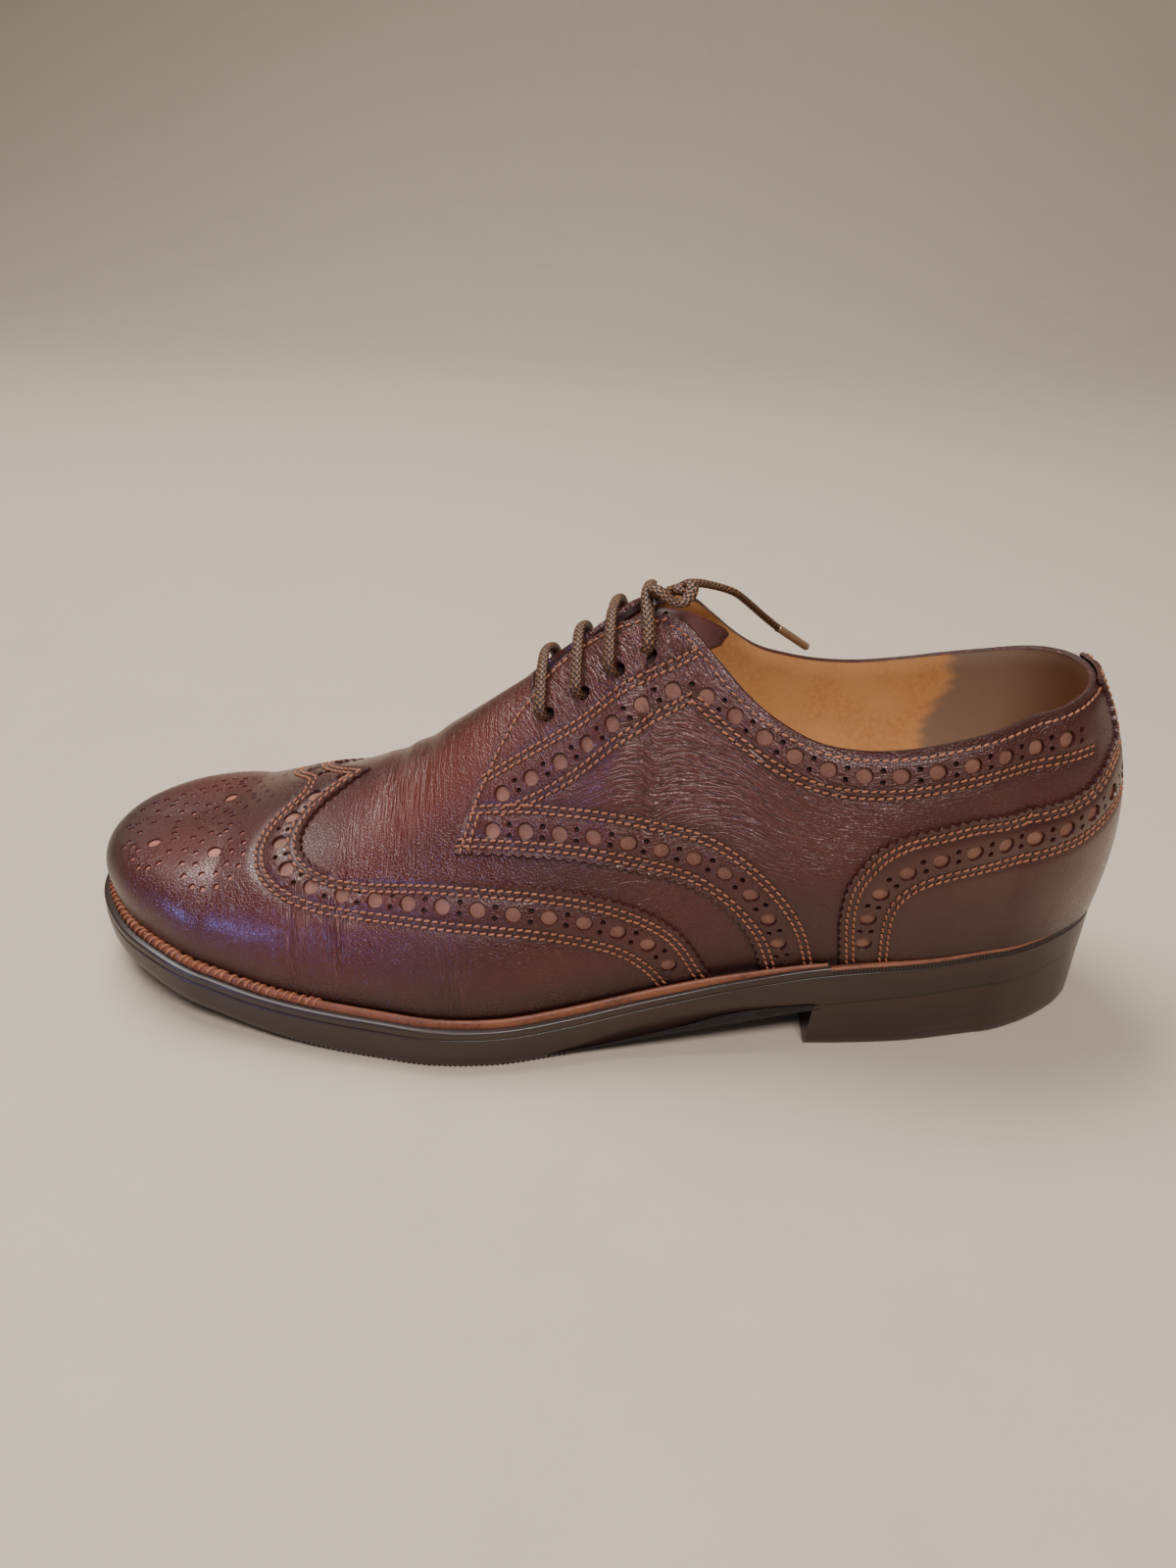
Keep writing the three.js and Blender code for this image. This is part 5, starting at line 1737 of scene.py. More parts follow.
@dataclass
class Lacing:
    """The laces, through four pairs of eyelets to a small knot with one loose end."""

    last: Last
    eyelets: Sequence[tuple[float, float]]
    finishes: Finishes
    half_width: float = 1.8
    half_depth: float = 1.1
    loft: float = 3.0
    arch: float = 1.5
    knot_shares: tuple[float, float, float] = (0.5604, -0.0648, 1.0344)
    route_shares: tuple = (
        (0.5766, -0.0333, 1.0475), (0.5828, -0.0139, 1.0434), (0.5974, 0.0278, 1.0262),
        (0.6198, 0.0741, 0.9959), (0.6354, 0.1204, 0.9557), (0.6526, 0.1667, 0.9082),
        (0.6669, 0.1991, 0.8721))
    tip_shares: tuple = ((0.6685, 0.2028, 0.8680), (0.7032, 0.2778, 0.7918))
    tip_radius: float = 1.25
    cord: float = 3.4
    end_up: tuple[float, float, float] = (0.35, 0.2, 1.0)

    def place(self, shares: Sequence[float]) -> Array:
        """Returns a point of the last from shares of the driving sizes."""
        return np.array(shares) * [self.last.length, self.last.ball_width, self.last.instep_height]

    def bar(self, number: int, a: float, b: float) -> bpy.types.Object:
        """Lays one lace across from an outer eyelet to its inner one.

        Args:
            number: Which bar it is, from the toe.
            a: Place of its eyelets along the pattern.
            b: How far the outer eyelet lies across it.

        Returns:
            The lace.
        """
        share = np.linspace(-1, 1, 61)
        plunge = smoothstep(0.90, 1.0, np.abs(share))
        lean = 1.6 * share
        points = np.column_stack([a + lean, np.clip(share * 1.04, -1, 1) * abs(b)])
        height = self.loft + self.arch * np.cos(share * math.pi / 2) - 4.6 * plunge
        path = self.last.surface(points, height)
        dip = 1 - np.clip(np.abs(points[:, 1]) / 14, 0, 1) ** 2
        path[:, 2] -= 0.9 * dip
        up = unit(self.last.surface(points, height + 1) - self.last.surface(points, height))
        return self.lay(f"lace_{number}", path, up, f"lace_bar_{number}")

    def lay(self, name: str, path: Array, up: Array, solid: str) -> bpy.types.Object:
        """Lays a length of lace along a path.

        Args:
            name: The object's name.
            path: Points on the last.
            up: The lace's thin direction at each point.
            solid: The solid that it stands for.

        Returns:
            The lace.
        """
        points, faces, flats = sweep(path, (self.half_width, self.half_depth), up)
        lace = make_mesh(name, self.last.in_frame(points), faces, self.finishes.lace)
        set_pattern(lace, flats * [0.1, 1])
        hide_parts(solid)
        return lace

    def build(self) -> None:
        """Builds the bars, the knot and the loose end with its tip."""
        for number, (a, b) in enumerate(self.eyelets, 1):
            self.bar(number, a, b)
        self.knot()
        self.loose_end()

    def knot(self) -> None:
        """Ties the small knot as one turn of lace round another."""
        centre = self.place(self.knot_shares)
        turn = np.linspace(0, 2 * math.pi * 1.35, 60)
        path = np.column_stack([centre[0] + 4.4 * np.cos(turn) + 0.5 * turn - 2,
                                centre[1] + 3.6 * np.sin(turn),
                                centre[2] + 1.7 * np.sin(2 * turn + 0.6) + 0.25 * turn - 1.0])
        up = np.tile([0.15, -0.25, 1.0], (len(path), 1))
        self.lay("tied_knot", path, up, "lace_knot")

    def loose_end(self) -> None:
        route = smooth_line([tuple(self.place(row)) for row in self.route_shares], 0.8)
        end = self.lay("lace_loose_end", route, np.tile(self.end_up, (len(route), 1)), "lace_end")
        start, stop = (self.place(row) for row in self.tip_shares)
        line = start + np.linspace(0, 1, 14)[:, None] * (stop - start)
        bore = np.tile(self.end_up, (len(line), 1))
        points, faces, _ = sweep(line, (self.tip_radius, self.tip_radius), bore)
        tip = make_mesh("lace_tip", self.last.in_frame(points), faces, self.finishes.tip)
        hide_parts("aglet")
        path = self.last.in_frame(route)


@dataclass
class Bottom:
    """The sole: welt with its bead, rand, outsole, heel and insole."""

    last: Last
    finishes: Finishes
    stations: int = 170
    welt_thickness: float = 2.7
    rand_place: float = 224.0
    bead_width: float = 2.1
    bead_height: float = 2.2
    bead_fade: float = 40.0
    mark_pitch: float = 1.05
    tread_pitch: float = 1.5
    breast_place: float = 220.0
    breast_slant: float = 5.0
    top_lift: float = 6.0
    rope_pitch: float = 2.4
    rope_slant: float = 1.9
    rope_end: float = 78.0
    rope_gap: float = 0.25
    seed: int = 7
    groove_width: float = 2.4
    groove_depth: float = 1.3
    groove_pitch: float = 8.5
    groove_first: float = 69.9
    groove_last: float = 148.2

    def band(self, name: str, rows: Sequence[tuple[Array, Array]], finish: bpy.types.Material,
             ring: list, closed: bool = True) -> bpy.types.Object:
        """Builds a surface from rings round the shoe.

        Args:
            name: The object's name.
            rows: For each ring its inset and its height at every station.
            finish: The material.
            ring: The stations.
            closed: Whether the ring closes on itself.

        Returns:
            The object.
        """
        points = [np.column_stack([self.last.plan(ring, inset), height]) for inset, height in rows]
        stacked = np.vstack(points)
        faces = grid_faces(len(rows), len(ring), closed)
        thing = make_mesh(name, self.last.in_frame(stacked), faces, finish)
        run = run_of(points[0])
        flats = [np.column_stack([run, np.full(len(ring), i)]) for i in range(len(rows))]
        set_pattern(thing, np.vstack(flats) * [0.01, 0.1])
        return thing

    def outsole(self) -> bpy.types.Object:
        """Builds the outsole's side and its grooved underside.

        Returns:
            The side.
        """
        ring = self.last.ring(2 * self.stations)
        x = self.last.plan(ring, 0)[:, 0]
        seat, tread = self.last.seat(x), self.last.tread(x)
        low, high = tread, seat - self.welt_thickness - 0.06
        heel = smoothstep(self.breast_place, self.breast_place + 2, x)
        rows = [(1.4, low), (0.7 - 0.52 * heel, low + 0.35 * (1 - heel)), (0.25 - 0.07 * heel, low + 1.3),
                (0.15, low + 3.0), (0.15, (low + high) / 2), (0.17, high - 1.0), (0.2, high - 0.2),
                (0.4, high), (3.0, high)]
        sole = self.band("sole_body", rows, self.finishes.edge, ring)
        self.underside(ring)
        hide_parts("outsole")
        return sole

    def underside(self, ring: list) -> bpy.types.Object:
        """Builds the outsole's underside with its cross grooves.

        Args:
            ring: The stations of the sole's edge.

        Returns:
            The underside.
        """
        rim = self.last.plan(ring, 1.4)
        grooves = np.arange(self.groove_first, self.groove_last, self.groove_pitch)
        half = self.groove_width / 2
        lines = np.concatenate([grooves + k for k in (-half - 0.15, -half + 0.15, half - 0.15, half + 0.15)])
        lines = np.concatenate([lines, np.arange(4, 306, 4.0)])
        x, y = np.meshgrid(np.sort(lines), np.arange(-56, 57, 4.0))
        inner = np.column_stack([x.ravel(), y.ravel()])
        inner = inner[inside(rim, inner)]
        inner = inner[distances(rim, inner) > 1.2]
        flat, faces = triangulated(rim, [], inner)
        from_groove = np.abs(flat[:, :1] - grooves).min(axis=1)
        depth = self.groove_depth * (1 - smoothstep(half - 0.15, half + 0.15, from_groove))
        from_edge = distances(rim, flat)
        depth *= smoothstep(0.0, 0.4, from_edge)
        points = np.column_stack([flat, self.last.tread(flat[:, 0]) + depth])
        under = make_mesh("outsole_underside", self.last.in_frame(points),
                          [tuple(face)[::-1] for face in faces], self.finishes.tread)
        mark_sharp(under, 35)
        return under

    def welt(self) -> bpy.types.Object:
        """Builds the welt plate that runs round the front of the shoe.

        Returns:
            The plate.
        """
        ring = [spot for spot in self.last.ring(2 * self.stations) if self.in_front(spot, 1.2)]
        ring = self.from_gap(ring)
        x = self.last.plan(ring, 0)[:, 0]
        seat = self.last.seat(x)
        rows = self.plate_rows(seat - self.welt_thickness)
        rows += [(0.25, seat - 0.7), (0.35, seat - 0.25), (0.8, seat), (3.0, seat), (9.8, seat)]
        plate = self.band("storm_welt", rows, self.finishes.edge, ring, closed=False)
        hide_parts("welt")
        return plate

    def in_front(self, spot: tuple[Zone, float, int], more: float = 0.0) -> bool:
        """Tells whether a station lies in front of the rand, or less than a distance behind its end."""
        zone, t, _ = spot
        return zone is Zone.TOE or (zone is Zone.SIDE and t < self.rand_place + more)

    def from_gap(self, ring: list) -> list:
        """Turns an open run of stations so that it starts where it leaves the heel."""
        start = next(i for i, (zone, t, side) in enumerate(ring) if side == INNER)
        return ring[start:] + ring[:start]

    def bead_size(self, x: Array) -> tuple[Array, Array, Array]:
        """Sizes the storm bead, which runs out towards the rand.

        Args:
            x: Places along the shoe.

        Returns:
            Its width, its height and how far its inner foot stands in from the sole's edge.
        """
        share = np.clip((self.rand_place - x) / self.bead_fade, 0, 1)
        width = self.bead_width * (0.6 + 0.4 * share)
        return width, self.bead_height * (0.3 + 0.7 * share), self.last.foot_inset(x) - 1.55

    def plate_rows(self, low: Array) -> list[tuple[float, Array]]:
        """Returns the insets and heights of a welt plate's underside and lower edge."""
        return [(9.8, low), (2.0, low), (0.5, low), (0.3, low + 0.15), (0.25, low + 0.7)]

    def bead(self) -> bpy.types.Object:
        """Builds the storm bead in the corner between the welt and the upper.

        Returns:
            The bead.
        """
        ring = [spot for spot in self.last.ring(3 * self.stations) if self.in_front(spot)]
        ring = self.from_gap(ring)
        x = self.last.plan(ring, 0)[:, 0]
        width, height, inner = self.bead_size(x)
        seat = self.last.seat(x)
        rows = []
        for turn in np.radians(np.linspace(0, 180, 9)):
            rows.append((inner - width / 2 - width / 2 * math.cos(turn), seat + height * math.sin(turn)))
        self.rope()
        return self.band("storm_bead", rows, self.finishes.welt, ring, closed=False)

    def rope(self) -> bpy.types.Object:
        """Lays the slanted welt stitches over the bead, close together round the toe.

        Returns:
            The stitches.
        """
        ring = [spot for spot in self.last.ring(6 * self.stations) if self.in_front(spot)]
        ring = self.from_gap(ring)
        x = self.last.plan(ring, 0)[:, 0]
        width, height, inner = self.bead_size(x)
        run = run_of(self.last.plan(ring, 0))
        arcs = []
        for turn in np.radians(np.linspace(15, 160, 6)):
            plan = self.last.plan(ring, inner - width / 2 - (width / 2 + self.rope_gap) * math.cos(turn))
            above = (height + self.rope_gap) * math.sin(turn)
            arcs.append(np.column_stack([plan, self.last.seat(x) + above]))
        points, faces = [], []
        chance = np.random.default_rng(self.seed)
        spots = np.arange(2, run[-1] - 2, self.rope_pitch)
        spots = spots[np.interp(spots, run, x) < self.rope_end]
        for spot in spots + chance.uniform(-0.3, 0.3, len(spots)):
            slant = self.rope_slant * chance.uniform(0.7, 1.4)
            path = np.array([[np.interp(spot + slant * k / 5, run, arc[:, axis]) for axis in range(3)]
                             for k, arc in enumerate(arcs)])
            up = unit(path - path.mean(0) + [0, 0, 1.2])
            rows, turned, _ = sweep(path, (0.5 * chance.uniform(0.8, 1.25), 0.34), up, 6)
            faces += [tuple(i + len(points) for i in face) for face in turned]
            points += rows.tolist()
        return make_mesh("welt_stitches", self.last.in_frame(np.array(points)), faces,
                         self.finishes.welt_thread)

    def rand(self) -> bpy.types.Object:
        """Builds the rand round the heel and the dark marks of painted shade on the sole's side.

        Returns:
            The rand's plate.
        """
        ring = [spot for spot in self.last.ring(2 * self.stations) if not self.in_front(spot)]
        x = self.last.plan(ring, 0)[:, 0]
        seat = self.last.seat(x)
        rows = self.plate_rows(seat - self.welt_thickness) + [(0.25, seat - 0.75)]
        plate = self.band("rand_plate", rows, self.finishes.edge, ring, closed=False)
        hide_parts("heel_rand")
        self.band("rand_top", [(0.25, seat - 0.75), (0.22, seat - 0.45), (0.5, seat - 0.05), (1.5, seat)],
                  self.finishes.welt, ring, closed=False)
        self.band("rand_inner", [(1.5, seat), (2.2, seat - 0.2), (9.8, seat - 0.2)],
                  self.finishes.edge, ring, closed=False)
        # Painted shade: dark marks for the wheel's grooves on the rand and for the fine grooves of the
        # tread.
        self.marks("wheel_marks", ring, self.mark_pitch, (0.9, 2.1), True)
        ball = [spot for spot in self.last.ring(3 * self.stations)
                if spot[0] is Zone.SIDE and 62 < spot[1] < 152]
        for side in (OUTER, INNER):
            run = [spot for spot in ball if spot[2] == side]
            self.marks(f"{side_name(side)}_tread_marks", run, self.tread_pitch, (0.25, 1.15), False)
        return plate

    def marks(self, name: str, ring: list, pitch: float, drop: tuple[float, float],
              from_top: bool) -> bpy.types.Object:
        """Lays fine upright dark marks on the sole's side, painted shade that stands for pressed grooves.

        Args:
            name: The object's name.
            ring: The stations to mark.
            pitch: Distance between marks.
            drop: Where a mark starts and ends, measured from the side's edge.
            from_top: Whether that is the upper edge, and not the lower one.

        Returns:
            The marks.
        """
        side = self.last.plan(ring, 0.10 if from_top else 0.45)
        run = run_of(side)
        spots = np.arange(1.0, run[-1] - 1.0, pitch)
        corners = []
        for along in (-0.18 * pitch, 0.18 * pitch):
            x, y = (np.interp(spots + along, run, side[:, k]) for k in range(2))
            edge = self.last.seat(x) if from_top else self.last.tread(x)
            turn = -1 if from_top else 1
            corners += [np.column_stack([x, y, edge + turn * reach]) for reach in drop]
        points = np.stack(corners, axis=1).reshape(-1, 3)
        faces = [(k, k + 1, k + 3, k + 2) for k in range(0, len(points), 4)]
        return make_mesh(name, self.last.in_frame(points), faces, self.finishes.needle)

    def breast(self, height: Array) -> Array:
        """Returns the place of the heel's front face at a height."""
        return self.breast_place + (height - self.top_lift) * math.tan(math.radians(self.breast_slant))

    def heel_part(self, name: str, low: Callable[[Array], Array], high: Callable[[Array], Array],
                  steps: Sequence[tuple[float, float]], finish: bpy.types.Material) -> bpy.types.Object:
        """Builds one part of the heel as a closed block with a front face.

        Args:
            name: The solid that it stands for.
            low: Height of its underside at each place, as a function of the place.
            high: Height of its upper side.
            steps: Insets at shares of the height, from the underside up.
            finish: The material.

        Returns:
            The block.
        """
        ring = [spot for spot in self.last.ring(3 * self.stations)
                if spot[0] is Zone.HEEL or (spot[0] is Zone.SIDE and spot[1] > self.breast_place - 1)]
        rows = []
        x = self.last.plan(ring, 0)[:, 0]
        bottom, top = low(x), high(x)
        for share, inset in steps:
            z = bottom + share * (top - bottom)
            plan = self.last.plan(ring, inset)
            plan[:, 0] = np.maximum(plan[:, 0], self.breast(z))
            rows.append(np.column_stack([plan, z]))
        count = len(ring)
        faces = grid_faces(len(rows), count)
        points = np.vstack(rows)
        for start in (0, (len(rows) - 1) * count):
            for i in range((count - 1) // 2):
                face = (start + i, start + i + 1, start + count - 2 - i, start + count - 1 - i)
                faces.append(tuple(dict.fromkeys(face)))
        for k in range(len(rows) - 1):
            i, j = k * count, k * count + count - 1
            faces.append((i, j, j + count, i + count))
        block = make_mesh(f"{name}_block", self.last.in_frame(points), faces, finish)
        mark_sharp(block, 40)
        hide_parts(name)
        return block

    def heel(self) -> None:
        """Builds the heel's stack and its top lift."""
        stack = ((0, 0.2), (0.5, 0.24), (0.98, 0.18), (1, 0.18))
        lift = ((0, 1.2), (0.05, 0.6), (1 / 6, 0.25), (0.5, 0.2), (0.98, 0.2), (1, 0.2))
        self.heel_part("heel_stack", lambda x: np.full(len(x), self.top_lift + 0.02),
                       lambda x: np.maximum(self.last.tread(x) - 0.02, self.top_lift + 1), stack,
                       self.finishes.edge)
        self.heel_part("heel_top_lift", lambda x: np.zeros(len(x)),
                       lambda x: np.full(len(x), self.top_lift), lift, self.finishes.edge)

    def insole(self) -> bpy.types.Object:
        """Builds the insole with its sock, a shallow dish from toe to heel.

        Returns:
            The insole.
        """
        ring = self.last.ring(self.stations)
        x = self.last.plan(ring, 0)[:, 0]
        inset = self.last.foot_inset(x) + 2.5
        rows = [(10.1, self.last.seat(x) - 2.7), (10.1, self.last.seat(x) + 0.3),
                (inset, self.last.seat(x) + 0.6), (inset, self.last.seat(x) + 3.6)]
        points = [np.column_stack([self.last.plan(ring, depth), z]) for depth, z in rows]
        outer = points[-1]
        for share in (0.03, 0.1, 0.25, 0.45, 0.7, 0.9, 1.0):
            spine = np.column_stack([np.clip(outer[:, 0], 46, 270), np.zeros(len(outer))])
            flat = outer[:, :2] * (1 - share) + spine * share
            drop = 0.5 + 0.9 * smoothstep(0, 0.6, np.full(len(outer), share))
            points.append(np.column_stack([flat, self.last.seat(flat[:, 0]) + 4.4 - drop]))
        stacked = np.vstack(points)
        faces = grid_faces(len(points), len(ring), True)
        thing = make_mesh("sock_insole", self.last.in_frame(stacked), faces, self.finishes.sock)
        set_pattern(thing, stacked[:, :2] * 0.01)
        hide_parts("insole")
        return thing

    def build(self) -> None:
        """Builds every part of the sole."""
        for piece in (self.outsole(), self.welt(), self.bead(), self.rand(), self.insole()):
            LOG.info("%s: %d faces", piece.name, len(piece.data.polygons))
        self.heel()


@dataclass
class Tongue:
    """The tongue under the laces."""

    last: Last
    finishes: Finishes
    front: float = 122.0
    rear: float = 187.0
    half: float = 21.0
    bend_place: float = 166.86
    taper: float = 0.006
    rise: float = 0.1
    bend: float = 0.018
    upper_face: float = -2.9
    under_face: float = -4.6

    def build(self) -> bpy.types.Object:
        """Builds the tongue, which bends away from the foot behind the throat.

        Returns:
            The tongue.
        """
        columns, rows = np.linspace(self.front, self.rear, 66), np.linspace(-self.half, self.half, 41)
        layers = []
        for height in (self.upper_face, self.under_face):
            for b in rows:
                a = np.minimum(columns, self.bend_place)
                past = columns - a
                round_end = np.sqrt(np.clip(1 - ((past / 21.5) ** 4), 0.05, 1))
                wide = np.where(past > 0, b * round_end, b)
                p = self.last.surface(np.column_stack([a, wide]), height)
                p[:, 0] += past
                p[:, 1] *= 1 - self.taper * past
                p[:, 2] += self.rise * past - self.bend * past**2
                layers.append(p)
        count = len(columns)
        points = np.vstack(layers)
        faces = grid_faces(len(rows), count)
        under = grid_faces(len(rows), count, first=len(rows) * count)
        faces += [face[::-1] for face in under]
        shift = len(rows) * count
        rim = [i for i in range(count)] + [j * count + count - 1 for j in range(1, len(rows))]
        rim += [(len(rows) - 1) * count + i for i in reversed(range(count - 1))]
        rim += [j * count for j in reversed(range(1, len(rows) - 1))]
        for i, j in zip(rim, rim[1:] + rim[:1], strict=True):
            faces.append((j, i, i + shift, j + shift))
        thing = make_mesh("leather_tongue", self.last.in_frame(points), faces, self.finishes.tongue)
        flat = np.array([(x, b) for b in rows for x in columns])
        set_pattern(thing, np.vstack([flat, flat]) * 0.01)
        mark_sharp(thing)
        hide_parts("tongue")
        return thing


class Tree:
    """A node tree that is built up a node at a time."""

    def __init__(self, tree: bpy.types.NodeTree) -> None:
        """Wraps an empty node tree."""
        self.tree = tree
        self.tree.nodes.clear()

    def node(self, kind: str, inputs: dict[str | int, object] | None = None,
             **settings: object) -> bpy.types.Node:
        """Adds a node.

        Args:
            kind: Its type's name.
            inputs: For each input a value or a socket that feeds it.
            settings: Properties of the node.

        Returns:
            The node.
        """
        made = self.tree.nodes.new(kind)
        for name, value in settings.items():
            setattr(made, name, value)
        for name, value in (inputs or {}).items():
            if isinstance(value, bpy.types.NodeSocket):
                self.tree.links.new(value, made.inputs[name])
            else:
                made.inputs[name].default_value = value
        return made

    def math(self, operation: str, a: object, b: object = 0.0, clamp: bool = False) -> bpy.types.NodeSocket:
        """Adds one step of arithmetic and returns its result."""
        return self.node("ShaderNodeMath", {0: a, 1: b}, operation=operation, use_clamp=clamp).outputs[0]

    def blend(self, share: object, a: object, b: object) -> bpy.types.NodeSocket:
        """Mixes two colours and returns the result."""
        return self.node("ShaderNodeMix", {0: share, 6: a, 7: b}, data_type="RGBA").outputs[2]

    def ramp(self, value: object, low: float, high: float) -> bpy.types.NodeSocket:
        """Turns a range of values into a smooth rise from 0 to 1."""
        inputs = {"Value": value, "From Min": low, "From Max": high}
        return self.node("ShaderNodeMapRange", inputs, interpolation_type="SMOOTHSTEP").outputs[0]

    def mask(self, name: str) -> bpy.types.NodeSocket:
        """Reads one of the values stored on the mesh."""
        return self.node("ShaderNodeAttribute", attribute_name=name).outputs["Fac"]


def new_material(name: str) -> tuple[bpy.types.Material, Tree]:
    """Starts a material with an empty node tree.

    Args:
        name: Its name.

    Returns:
        The material and the wrapper of its tree.
    """
    material = bpy.data.materials.new(name)
    material.use_nodes = True
    return material, Tree(material.node_tree)


def color(rgb: Sequence[float]) -> tuple[float, float, float, float]:
    """Returns a colour with full alpha."""
    return (*rgb, 1.0)


def new_group(name: str, inputs: dict[str, tuple[str, object]], outputs: dict[str, str]) -> tuple:
    """Starts a shared node group.

    Args:
        name: The group's name.
        inputs: Its inputs: for each name a socket type and a default.
        outputs: Its outputs: for each name a socket type.

    Returns:
        The group, its tree wrapper, its input node and its output node.
    """
    group = bpy.data.node_groups.new(name, "ShaderNodeTree")
    for label, (kind, value) in inputs.items():
        socket = group.interface.new_socket(label, in_out="INPUT", socket_type=kind)
        socket.default_value = value
    for label, kind in outputs.items():
        group.interface.new_socket(label, in_out="OUTPUT", socket_type=kind)
    tree = Tree(group)
    start = tree.node("NodeGroupInput")
    end = tree.node("NodeGroupOutput")
    return group, tree, start, end


def grain_group() -> bpy.types.ShaderNodeTree:
    """Makes the leather grain: fine pebbles and pores that fade where it is pressed smooth.

    Returns:
        The group.
    """
    group, tree, start, end = new_group(
        "Leather grain", {"Place": ("NodeSocketVector", (0, 0, 0)), "Scale": ("NodeSocketFloat", 900.0),
                          "Smooth": ("NodeSocketFloat", 0.0)},
        {"Height": "NodeSocketFloat", "Crevice": "NodeSocketFloat"})
    place, scale = start.outputs["Place"], start.outputs["Scale"]
    warp = tree.node("ShaderNodeTexNoise", {"Vector": place, "Scale": tree.math("MULTIPLY", scale, 0.7),
                                            "Detail": 2.0})
    shifted = tree.node("ShaderNodeVectorMath", {0: warp.outputs["Color"], 1: (0.0007, 0.0007, 0.0007)},
                        operation="MULTIPLY")
    moved = tree.node("ShaderNodeVectorMath", {0: place, 1: shifted.outputs[0]}, operation="ADD")
    cells = tree.node("ShaderNodeTexVoronoi", {"Vector": moved.outputs[0], "Scale": scale},
                      feature="DISTANCE_TO_EDGE")
    crevice = tree.math("SUBTRACT", 1.0, tree.ramp(cells.outputs["Distance"], 0.0, 0.16))
    noise = tree.node("ShaderNodeTexNoise", {"Vector": place, "Scale": tree.math("MULTIPLY", scale, 1.9),
                                             "Detail": 4.0, "Roughness": 0.6})
    keep = tree.math("SUBTRACT", 1.0, start.outputs["Smooth"])
    deep = tree.math("MULTIPLY", crevice, keep)
    height = tree.math("SUBTRACT", tree.math("MULTIPLY", noise.outputs[0], 0.5),
                       tree.math("MULTIPLY", deep, 0.5))
    tree.tree.links.new(height, end.inputs["Height"])
    tree.tree.links.new(deep, end.inputs["Crevice"])
    return group


def wrinkle_group() -> bpy.types.ShaderNodeTree:
    """Makes fine wrinkles that run one way across the leather.

    Returns:
        The group.
    """
    group, tree, start, end = new_group(
        "Leather wrinkles", {"Pattern": ("NodeSocketVector", (0, 0, 0)), "Turn": ("NodeSocketFloat", 0.0),
                             "Pitch": ("NodeSocketFloat", 60.0), "Stretch": ("NodeSocketFloat", 0.16)},
        {"Height": "NodeSocketFloat", "Furrow": "NodeSocketFloat"})
    turned = tree.node("ShaderNodeVectorRotate", {"Vector": start.outputs["Pattern"],
                                                  "Angle": start.outputs["Turn"]}, rotation_type="Z_AXIS")
    wide = tree.node("ShaderNodeCombineXYZ", {0: start.outputs["Stretch"], 1: 1.0, 2: 1.0})
    laid = tree.node("ShaderNodeVectorMath", {0: turned.outputs[0], 1: wide.outputs[0]},
                     operation="MULTIPLY")
    noise = tree.node("ShaderNodeTexNoise", {"Vector": laid.outputs[0], "Scale": start.outputs["Pitch"],
                                             "Detail": 2.0, "Roughness": 0.5, "Distortion": 0.5})
    folded = tree.math("ABSOLUTE", tree.math("SUBTRACT", noise.outputs[0], 0.5))
    furrow = tree.math("SUBTRACT", 1.0, tree.ramp(folded, 0.0, 0.05))
    tree.tree.links.new(tree.ramp(folded, 0.0, 0.14), end.inputs["Height"])
    tree.tree.links.new(furrow, end.inputs["Furrow"])
    return group


